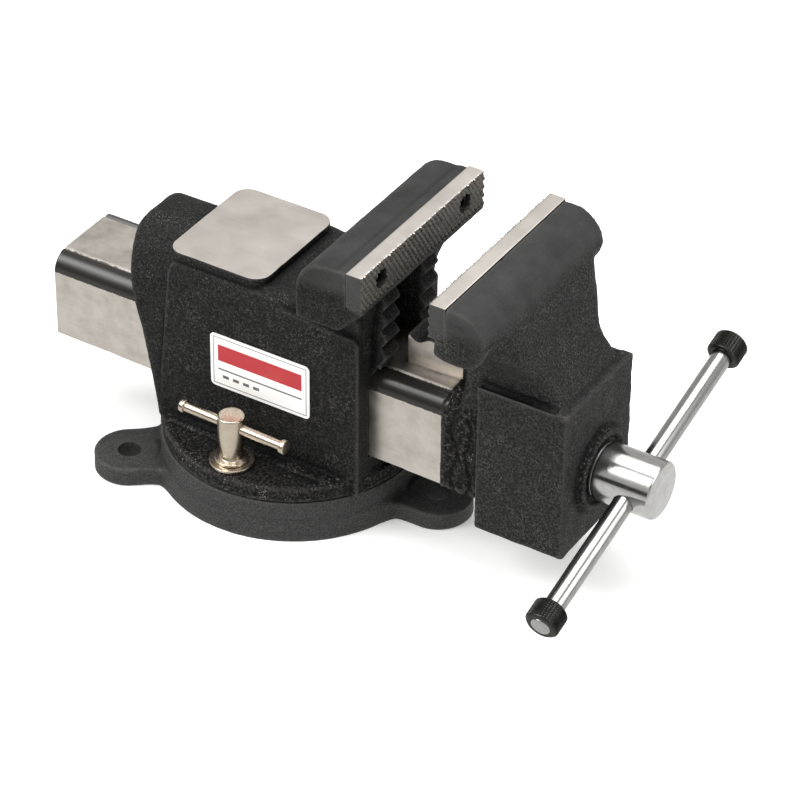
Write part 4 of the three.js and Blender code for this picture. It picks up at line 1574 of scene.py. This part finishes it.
@dataclass
class Screw:
    """The main screw with its turned chrome head, and what holds it in the front block."""

    z: float = 85.2
    rear: float = -150.0
    thread_end: float = 150.0
    core: float = 9.9
    crest: float = 12.0
    pitch: float = 5.0
    shank: float = 14.0
    head: float = 20.0
    head_x: tuple[float, float] = (238.9, 281.0)
    handle_x: float = 263.0
    handle_radius: float = 7.0
    tilt_deg: float = 15.85
    pin_x: float = 217.6
    pin_radius: float = 3.0
    pin_hole: float = 3.3

    def handle_way(self) -> tuple[float, float, float]:
        """Returns the direction of the handle bar, towards its far end."""
        tilt = math.radians(self.tilt_deg)
        return 0.0, math.cos(tilt), math.sin(tilt)

    @staticmethod
    def thread_tree() -> bpy.types.NodeTree:
        """Returns the tree that winds a trapezoid thread round a turned core."""
        tree = bpy.data.node_groups.new("wound_thread", "GeometryNodeTree")
        given = declare(
            tree, ("Geometry", "Geometry"), ("Turns", "Float"), ("Radius", "Float"), ("Length", "Float"),
            ("Root", "Float"), ("Crest", "Float"), ("Depth", "Float"),
            ("Start", "Vector"), ("Finish", "Material"),
        )
        spiral = add(
            tree,
            "GeometryNodeCurveSpiral",
            {
                "Resolution": 20,
                "Rotations": given["Turns"],
                "Start Radius": given["Radius"],
                "End Radius": given["Radius"],
                "Height": given["Length"],
            },
        ).outputs[0]
        upright = add(tree, "GeometryNodeSetCurveNormal", {0: spiral}, mode="Z_UP").outputs[0]
        section = add(
            tree,
            "GeometryNodeCurvePrimitiveQuadrilateral",
            {
                "Bottom Width": given["Root"], "Top Width": given["Crest"],
                "Height": given["Depth"], "Offset": 0.0,
            },
            mode="TRAPEZOID",
        ).outputs[0]
        turned = add(
            tree, "GeometryNodeTransform", {"Geometry": section, "Rotation": (0, 0, math.radians(90))}
        ).outputs[0]
        ridge = add(
            tree, "GeometryNodeCurveToMesh", {"Curve": upright, "Profile Curve": turned, "Fill Caps": True}
        ).outputs[0]
        laid = add(
            tree,
            "GeometryNodeTransform",
            {"Geometry": ridge, "Translation": given["Start"], "Rotation": (0, math.radians(90), 0)},
        ).outputs[0]
        both = add(tree, "GeometryNodeJoinGeometry")
        tree.links.new(dress(tree, laid, given["Finish"]), both.inputs[0])
        tree.links.new(given["Geometry"], both.inputs[0])
        solid = add(tree, "GeometryNodeRealizeInstances", {0: both.outputs[0]}).outputs[0]
        add(tree, "NodeGroupOutput", {0: solid})
        return tree

    def cross_pin(self, name: str, radius: float, half: float, edge: float = 0.0) -> bpy.types.Object:
        """Turns the pin that fixes the collar on the screw, or the tool for its hole.

        Args:
            name: Name of the piece.
            radius: Radius of the pin.
            half: Half its length.
            edge: Rounding of its two ends.

        Returns:
            The piece, set across the screw.
        """
        corners = [(-half, 0), (-half, radius, edge), (half, radius, edge), (half, 0)]
        return lathe(name, corners, about(self.pin_x, 0, self.z, (0, 1, 0)), 32)

    def build(self, chrome: bpy.types.Material, steel: bpy.types.Material) -> None:
        """Builds the screw and puts it on its body.

        Args:
            chrome: Finish of the head.
            steel: Finish of the shank and the thread.
        """
        x0, x1 = self.head_x
        corners = [
            (self.rear, 0), (self.rear, self.core, 1), (self.thread_end, self.core),
            (self.thread_end + 2, self.shank), (x0, self.shank),
            (x0, self.head, 1.2), (x1, self.head, 2.2), (x1, 0),
        ]
        screw = lathe("main_screw", corners, about(0, 0, self.z))
        reach = self.handle_radius + 0.3
        hole = lathe(
            "hole_tool", [(-40, 0), (-40, reach), (40, reach), (40, 0)],
            about(self.handle_x, 0, self.z, self.handle_way()), sides=64,
        )
        cut_away(screw, hole, self.cross_pin("pin_tool", self.pin_hole, 40))
        polish(screw, Vector((0, 0, self.z * MM)), Vector((1, 0, 0)))
        set_finishes(screw, [chrome, steel], lambda centres, normals: centres[:, 0] < x0 - 0.5)
        length = self.thread_end - self.rear - 4
        values = {
            "Turns": length / self.pitch,
            "Radius": (self.core + self.crest) / 2 * MM,
            "Length": length * MM,
            "Root": 3.4 * MM,
            "Crest": 1.7 * MM,
            "Depth": (self.crest - self.core + 0.2) * MM,
            "Start": ((self.rear + 2) * MM, 0, self.z * MM),
            "Finish": steel,
        }
        run_tree(screw, self.thread_tree(), values)
        hand_over(screw, "screw", "chrome", "spindle")

    def retainers(self, zinc: bpy.types.Material, black: bpy.types.Material) -> None:
        """Builds the thrust washer, the collar behind it and the collar's pin.

        Args:
            zinc: Finish of the washer and the pin.
            black: Finish of the collar.
        """
        washer = ring_of("screw_washer", 236.6, 238.6, 14.4, 19.0, about(0, 0, self.z), zinc)
        hand_over(washer, "slide", "zinc", "thrust_washer")
        collar = ring_of("screw_collar", 213.5, 221.7, 14.3, 22.0, about(0, 0, self.z), black)
        cut_away(collar, self.cross_pin("pin_tool", self.pin_hole, 40))
        hand_over(collar, "screw", "black_steel", "retaining_collar")
        pin = self.cross_pin("screw_pin", self.pin_radius, 20, edge=0.6)
        pin.data.materials.append(zinc)
        hand_over(pin, "screw", "zinc", "collar_pin")


def ring_of(
    name: str, start: float, end: float, inner: float, outer: float, place: Matrix, finish: bpy.types.Material
) -> bpy.types.Object:
    """Returns a flat ring with softened edges.

    Args:
        name: Name of the piece.
        start: Where it starts along its axis, in millimetres.
        end: Where it ends.
        inner: Radius of its hole.
        outer: Its own radius.
        place: Takes its axis, which is local +X, to its place.
        finish: Its material.
    """
    corners = [(start, inner, 0.2), (start, outer, 0.5), (end, outer, 0.5), (end, inner, 0.4)]
    made = lathe(name, corners, place, sides=72, ring=True)
    made.data.materials.append(finish)
    return made


@dataclass
class Handle:
    """The sliding handle bar and its knurled end caps."""

    screw: Screw
    half: float = 130.0
    offset: float = 2.2
    radius: float = 7.0
    cap_radius: float = 11.6
    cap_length: float = 16.0
    cap_inset: float = 0.5
    cap_play: float = 0.15
    knurl_depth: float = 0.8
    around: int = 36
    rows: int = 7

    @staticmethod
    def knurl_tree() -> bpy.types.NodeTree:
        """Returns the tree that sets small pyramids in rows round a cap."""
        tree = bpy.data.node_groups.new("knurl", "GeometryNodeTree")
        given = declare(
            tree, ("Geometry", "Geometry"), ("Around", "Int"), ("Rows", "Int"), ("Radius", "Float"),
            ("Length", "Float"), ("Tooth", "Float"), ("Depth", "Float"), ("Middle", "Float"),
            ("Finish", "Material"), ("Place", "Vector"), ("Turn", "Vector"),
        )

        def calculate(operation: str, *values: object) -> bpy.types.NodeSocket:
            """Returns the result of one sum on the values given."""
            return add(tree, "ShaderNodeMath", dict(enumerate(values)), operation=operation).outputs[0]

        grid = add(
            tree,
            "GeometryNodeMeshGrid",
            {
                "Size X": 1.0, "Size Y": given["Length"],
                "Vertices X": given["Around"], "Vertices Y": given["Rows"],
            },
        ).outputs[0]
        position = add(tree, "GeometryNodeInputPosition").outputs[0]
        spot = add(tree, "ShaderNodeSeparateXYZ", {0: position}).outputs
        last = calculate("SUBTRACT", given["Around"], 1.0)
        step = calculate("MULTIPLY", spot["X"], last)
        share = calculate("DIVIDE", step, given["Around"])
        angle = calculate("MULTIPLY", share, 2 * math.pi)
        flat = {"Y": calculate("COSINE", angle), "Z": calculate("SINE", angle)}
        radial = add(tree, "ShaderNodeCombineXYZ", flat).outputs[0]
        scaled = {0: radial, "Scale": given["Radius"]}
        out = add(tree, "ShaderNodeVectorMath", scaled, operation="SCALE").outputs[0]
        shift = calculate("ADD", spot["Y"], given["Middle"])
        along = add(tree, "ShaderNodeCombineXYZ", {"X": shift}).outputs[0]
        target = add(tree, "ShaderNodeVectorMath", {0: out, 1: along}, operation="ADD").outputs[0]
        facing = add(tree, "FunctionNodeAlignRotationToVector", {"Vector": radial}, axis="Z").outputs[0]
        store = add(
            tree, "GeometryNodeStoreNamedAttribute",
            {"Geometry": grid, "Name": "facing", "Value": facing}, data_type="QUATERNION",
        ).outputs[0]
        points = add(tree, "GeometryNodeSetPosition", {"Geometry": store, "Position": target}).outputs[0]
        tooth = add(
            tree, "GeometryNodeMeshCone",
            {"Vertices": 4, "Radius Top": 0.0, "Radius Bottom": given["Tooth"], "Depth": given["Depth"]},
        ).outputs[0]
        kept = add(
            tree, "GeometryNodeInputNamedAttribute", {"Name": "facing"}, data_type="QUATERNION"
        ).outputs[0]
        teeth = add(
            tree, "GeometryNodeInstanceOnPoints", {"Points": points, "Instance": tooth, "Rotation": kept}
        ).outputs[0]
        solid = add(tree, "GeometryNodeRealizeInstances", {0: teeth}).outputs[0]
        laid = add(
            tree, "GeometryNodeTransform",
            {"Geometry": solid, "Translation": given["Place"], "Rotation": given["Turn"]},
        ).outputs[0]
        both = add(tree, "GeometryNodeJoinGeometry")
        tree.links.new(dress(tree, laid, given["Finish"]), both.inputs[0])
        tree.links.new(given["Geometry"], both.inputs[0])
        add(tree, "NodeGroupOutput", {0: both.outputs[0]})
        return tree

    def place(self) -> Matrix:
        """Returns the placing of the handle's axis."""
        return about(self.screw.handle_x, 0, self.screw.z, self.screw.handle_way())

    def cap(self, side: Side, tree: bpy.types.NodeTree, black: bpy.types.Material) -> bpy.types.Object:
        """Makes one knurled cap.

        Args:
            side: The end of the bar that it sits on.
            tree: The knurl's tree.
            black: The cap's finish.

        Returns:
            The cap.
        """
        tip = self.offset + side.value * (self.half - self.cap_inset)
        root = tip - side.value * self.cap_length
        low, high = min(tip, root), max(tip, root)
        body_radius = self.cap_radius - self.knurl_depth
        bore = self.radius + self.cap_play
        corners = [(low, bore, 0.3), (low, body_radius, 1.6), (high, body_radius, 1.6), (high, bore, 0.3)]
        cap = lathe(f"handle_knob_{side.word}", corners, self.place(), sides=72, ring=True)
        cap.data.materials.append(black)
        values = {
            "Around": self.around,
            "Rows": self.rows,
            "Radius": (body_radius + 0.5 * self.knurl_depth - 0.15) * MM,
            "Length": (self.cap_length - 4.6) * MM,
            "Tooth": 1.25 * MM,
            "Depth": (self.knurl_depth + 0.25) * MM,
            "Middle": (low + high) / 2 * MM,
            "Finish": black,
            "Place": self.place().translation * MM,
            "Turn": tuple(self.place().to_euler()),
        }
        run_tree(cap, tree, values)
        return cap

    def build(self, chrome: bpy.types.Material, black: bpy.types.Material) -> None:
        """Builds the handle and puts it on its body.

        Args:
            chrome: Finish of the bar.
            black: Finish of the caps.
        """
        start, end = self.offset - self.half, self.offset + self.half
        corners = [(start, 0), (start, self.radius, 0.9), (end, self.radius, 0.9), (end, 0)]
        bar = lathe("handle_rod", corners, self.place(), sides=72)
        bar.data.materials.append(chrome)
        hand_over(bar, "handle", "chrome", "handle_bar")
        tree = self.knurl_tree()
        for side in Side:
            cap = self.cap(side, tree, black)
            hand_over(cap, "handle", "black_steel", f"handle_cap_{side.word}")


@dataclass
class SwivelLock:
    """One swivel lock: a waisted bolt with a sliding cross bar, its washer and its square nut."""

    side: Side
    x: float = -3.0
    y: float = 72.0
    seat: float = 43.0
    top: float = 78.5
    bar_z: float = 70.0
    bar_half: float = 42.4
    bar_offset: float = 2.1
    bar_deg: float = -2.1

    def bar_place(self) -> Matrix:
        """Returns the placing of the cross bar's axis."""
        turn = math.radians(self.bar_deg + (0 if self.side is Side.NEAR else 180))
        return about(self.x, self.side.value * self.y, self.bar_z, (math.cos(turn), math.sin(turn), 0))

    def build(self, nickel: bpy.types.Material) -> None:
        """Builds the lock's pieces and puts them on their bodies.

        Args:
            nickel: Finish of the bolt, its bar and its washer.
        """
        word, y = self.side.word, self.side.value * self.y
        stand = about(self.x, y, 0, (0, 0, 1))
        seat, top = self.seat, self.top
        corners = [
            (9.7, 0), (9.7, 6.5, 0.8), (seat, 6.5, 0.3), (seat, 11.5, 0.4), (seat + 1.6, 11.5, 0.6),
            (seat + 2.6, 8.0, 1), (seat + 6, 7.7, 6), (seat + 22, 9.3, 8), (top, 9.3, 1.4), (top, 0),
        ]
        bolt = lathe(f"lock_post_{word}", corners, stand, sides=72)
        hole = lathe("bar_tool", [(-20, 0), (-20, 3.8), (20, 3.8), (20, 0)], self.bar_place(), sides=40)
        cut_away(bolt, hole)
        polish(bolt, Vector((self.x, y, 0)) * MM, Vector((0, 0, 1)))
        set_finishes(bolt, [nickel], lambda centres, normals: np.zeros(len(centres)))
        hand_over(bolt, f"lock_{word}", "nickel", f"lock_bolt_{word}")
        start, end = self.bar_offset - self.bar_half, self.bar_offset + self.bar_half
        corners = [
            (start, 0), (start, 5.0, 0.7), (start + 3.4, 5.0, 0.5), (start + 3.9, 3.5, 0.4),
            (end - 3.9, 3.5, 0.4), (end - 3.4, 5.0, 0.5), (end, 5.0, 0.7), (end, 0),
        ]
        bar = lathe(f"lock_tommy_{word}", corners, self.bar_place(), sides=40)
        bar.data.materials.append(nickel)
        hand_over(bar, f"lock_bar_{word}", "nickel", f"lock_bar_{word}")
        washer = ring_of(f"lock_ring_{word}", 40.3, 42.7, 6.9, 15.3, stand, nickel)
        hand_over(washer, "swivel", "zinc", f"lock_washer_{word}")


@dataclass
class Label:
    """The printed film on the near side of the tower."""

    x: tuple[float, float] = (-33.0, 45.0)
    z: tuple[float, float] = (80.0, 122.0)
    corner: float = 3.5
    face_y: float = -50.9
    back_y: float = -50.35

    def build(self) -> None:
        """Builds the label and puts it on its body."""
        (x0, x1), (z0, z1) = self.x, self.z
        r = self.corner
        path = round_corners([(x0, z0, r), (x1, z0, r), (x1, z1, r), (x0, z1, r)], step_deg=10)
        count = len(path)
        points = [(u * MM, y * MM, w * MM) for y in (self.face_y, self.back_y) for u, w in path]
        faces = [tuple(range(count)), tuple(range(2 * count - 1, count - 1, -1))]
        faces += [(i, count + i, count + (i + 1) % count, (i + 1) % count) for i in range(count)]
        mesh = bpy.data.meshes.new("printed_label")
        mesh.from_pydata(points, [], faces)
        face_outwards(mesh)
        label = new_object("printed_label", mesh)
        middle = ((x0 + x1) / 2, (z0 + z1) / 2)
        label.data.materials.append(PrintedFilm().material(middle, ((x1 - x0) / 2, (z1 - z0) / 2)))
        hand_over(label, "swivel", "label", "label_plate")


def dress_inner_pieces(finishes: dict[str, bpy.types.Material]) -> None:
    """Gives the pieces that stay as packed their finish and softened edges.

    Args:
        finishes: A material for each node's name.
    """
    for name, finish in finishes.items():
        node = frame["nodes"][name]
        node.data.materials.clear()
        node.data.materials.append(finish)
        weld = node.modifiers.new("weld", "WELD")
        weld.merge_threshold = 0.01 * MM
        bevel = node.modifiers.new("soft_edges", "BEVEL")
        bevel.width = 0.5 * MM
        bevel.segments = 2
        bevel.limit_method = "ANGLE"
        bevel.angle_limit = math.radians(40)


def hand_over(piece: bpy.types.Object, body: str, slot: str, *nodes: str) -> None:
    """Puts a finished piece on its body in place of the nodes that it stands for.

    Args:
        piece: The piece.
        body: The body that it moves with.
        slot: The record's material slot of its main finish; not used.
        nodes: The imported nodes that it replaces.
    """
    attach(piece, body)
    if nodes:
        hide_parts(*nodes)
    log.info("%s: %d faces on %s", piece.name, len(piece.data.polygons), body)


# ---------------------------------------------------------------- studio


@dataclass
class Studio:
    """Pale floor, soft light and the camera."""

    azimuth_deg: float = 31.459
    elevation_deg: float = 36.040
    roll_deg: float = 0.640
    distance: float = 2.6816
    lens_mm: float = 168.379
    target: tuple[float, float, float] = (-0.00139, 0.13882, -0.03810)
    floor_half: float = 6.0

    def camera(self) -> None:
        """Adds the camera."""
        a, e, roll = (math.radians(v) for v in (self.azimuth_deg, self.elevation_deg, self.roll_deg))
        back = Vector((math.sin(a) * math.cos(e), -math.cos(a) * math.cos(e), math.sin(e)))
        right = Vector((math.cos(a), math.sin(a), 0))
        up = back.cross(right)
        across = right * math.cos(roll) + up * math.sin(roll)
        upward = up * math.cos(roll) - right * math.sin(roll)
        data = bpy.data.cameras.new("camera")
        data.lens = self.lens_mm
        data.sensor_width = 36
        data.clip_end = 20
        camera = bpy.data.objects.new("camera", data)
        camera.matrix_world = Matrix((across, upward, back)).transposed().to_4x4()
        camera.location = Vector(self.target) + back * self.distance
        bpy.context.scene.collection.objects.link(camera)
        bpy.context.scene.camera = camera

    def lamp(self, name: str, place: Sequence[float], size: float, power: float) -> None:
        """Adds a soft square light that faces the vise.

        Args:
            name: Name of the light.
            place: Where it stands, in metres.
            size: Its side, in metres.
            power: Its power, in watts.
        """
        data = bpy.data.lights.new(name, "AREA")
        data.size = size
        data.energy = power
        light = bpy.data.objects.new(name, data)
        light.location = place
        light.rotation_euler = (Vector(place) - Vector((0.03, 0, 0.1))).to_track_quat("Z", "Y").to_euler()
        bpy.context.scene.collection.objects.link(light)

    def floor(self) -> None:
        """Adds the floor."""
        floor = new_object("floor", rectangle("floor", self.floor_half, self.floor_half))
        material, _, shader = new_material("matt_white_floor")
        shader.inputs["Base Color"].default_value = linear("#f6f6f6")
        shader.inputs["Roughness"].default_value = 0.9
        shader.inputs["Emission Color"].default_value = (1, 1, 1, 1)
        shader.inputs["Emission Strength"].default_value = 0.3
        floor.data.materials.append(material)
        floor.visible_glossy = False

    def flag(self, name: str, place: Sequence[float], wide: float, high: float) -> None:
        """Adds a black board that only shows in the reflections of the bright parts.

        Args:
            name: Name of the board.
            place: Its middle, in metres.
            wide: Half its width.
            high: Half its height.
        """
        mesh = rectangle(name, wide, high)
        mesh.transform((Vector(place) - Vector((0.1, 0, 0.1))).to_track_quat("Z", "Y").to_matrix().to_4x4())
        mesh.transform(Matrix.Translation(place))
        board = new_object(name, mesh)
        material, _, shader = new_material("black_velvet")
        shader.inputs["Base Color"].default_value = linear("#0a0a0a")
        shader.inputs["Roughness"].default_value = 1.0
        board.data.materials.append(material)
        for ray in ("camera", "diffuse", "shadow", "transmission", "volume_scatter"):
            setattr(board, f"visible_{ray}", False)

    def build(self) -> None:
        """Adds the whole studio."""
        self.camera()
        self.floor()
        self.lamp("key", (-1.1, -1.2, 1.9), 1.3, 40)
        self.lamp("top", (0.1, 0.4, 2.3), 1.8, 40)
        self.lamp("fill", (1.8, 0.2, 1.0), 1.2, 12)
        self.flag("horizon_flag", (-1.2, -2.6, 0.45), 1.6, 0.42)
        self.flag("camera_flag", (1.25, -1.9, 1.7), 0.55, 0.4)
        world = bpy.data.worlds.new("studio")
        world.use_nodes = True
        tree = world.node_tree
        background = tree.nodes["Background"]
        background.inputs["Color"].default_value = linear("#f7f6f4")
        way = add(tree, "ShaderNodeTexCoord").outputs["Generated"]
        height = add(tree, "ShaderNodeSeparateXYZ", {0: way}).outputs["Z"]
        fade = {"Value": height, "From Min": -0.25, "From Max": 0.05, "To Min": 0.95, "To Max": 0.55}
        tree.links.new(add(tree, "ShaderNodeMapRange", fade).outputs[0], background.inputs["Strength"])
        scene = bpy.context.scene
        scene.world = world
        scene.view_settings.view_transform = "Standard"


def main() -> None:
    """Builds the vise and its studio."""
    logging.basicConfig(level=logging.INFO, format="%(name)s: %(message)s")
    Studio().build()
    # Each coat paints glints on its crests and shade in its creases, and lightens convex edges as wear and
    # painted highlight.
    coat = TexturedCoat().material()
    rough_coat = TexturedCoat(
        "heavy_textured_powder_coat",
        deep="#060606", body="#1a1a1a", crest="#3a3837", glint="#8a8785",
        gloss=0.13, grain_mm=1.9, glint_mm=1.3, relief_mm=0.42,
    ).material()
    dark_coat = TexturedCoat(
        "even_textured_powder_coat",
        deep="#0c0c0c", body="#1b1b1b", crest="#302f2e", glint="#6a6866",
        gloss=0.17, grain_mm=1.3, glint_mm=0.95, relief_mm=0.3,
    ).material()
    fine_coat = TexturedCoat(
        "fine_textured_powder_coat",
        deep="#202020", body="#303030", crest="#424241", glint="#605e5d",
        gloss=0.45, grain_mm=1.0, relief_mm=0.2,
    ).material()
    ground = GroundIron().material()
    beam = Beam()
    foundry = Foundry(1.8)
    SwivelBase().build(foundry, fine_coat)
    JawBody(beam).build(foundry, dark_coat, ground, rough_coat)
    # rough_coat on the sliding jaw's neck and boss is partly painted shade.
    SlidingJaw(beam).build(foundry, coat, SlideIron().material(), rough_coat)
    black = PlainMetal("black_oxide_steel", "#1f1f20", "#343435", 0.42, relief_mm=0.03).material()
    hard = PlainMetal(
        "hardened_tool_steel", "#6b6863", "#7d7a74", 0.46, grain_mm=2.0, relief_mm=0.03
    ).material()
    chrome = PlainMetal("bright_chrome_plate", "#cfcfce", "#bfbfbe", 0.17, 0.03, 9.0).material()
    bar_chrome = PlainMetal("drawn_chrome_bar", "#b3b3b2", "#a0a09f", 0.22, 0.04, 9.0).material()
    blued = PlainMetal("blued_knurled_steel", "#3a3a39", "#4a4a48", 0.4, relief_mm=0.03).material()
    nickel = PlainMetal("warm_nickel_plate", "#d2c6b5", "#c6b9a6", 0.27, 0.05, 9.0).material()
    zinc = PlainMetal("zinc_plate", "#c3c6c8", "#a9adb0", 0.34, 0.08, 3.0).material()
    steel = PlainMetal("oiled_rolled_steel", "#8d8984", "#6f6b66", 0.34, 0.08).material()
    iron = PlainMetal("bare_cast_iron", "#6b6763", "#54504c", 0.55, grain_mm=2.5, relief_mm=0.08).material()
    detail = Foundry(0.75, sharp_deg=30)
    for jaw in Jaw:
        JawPlate(jaw).build(detail, hard, ground, fine_coat)
    row = JawScrews.row_tree()
    for jaw in Jaw:
        JawScrews(jaw).build(row, black)
    screw = Screw()
    screw.build(chrome, steel)
    screw.retainers(zinc, black)
    Handle(screw).build(bar_chrome, blued)
    for side in Side:
        SwivelLock(side).build(nickel)
    Label().build()
    inner = {"spindle_nut": iron, "lock_nut_near": black, "lock_nut_far": black}
    dress_inner_pieces({**inner, "nut_bolt_rear": black, "nut_bolt_front": black})


if __name__ == "__main__":
    main()
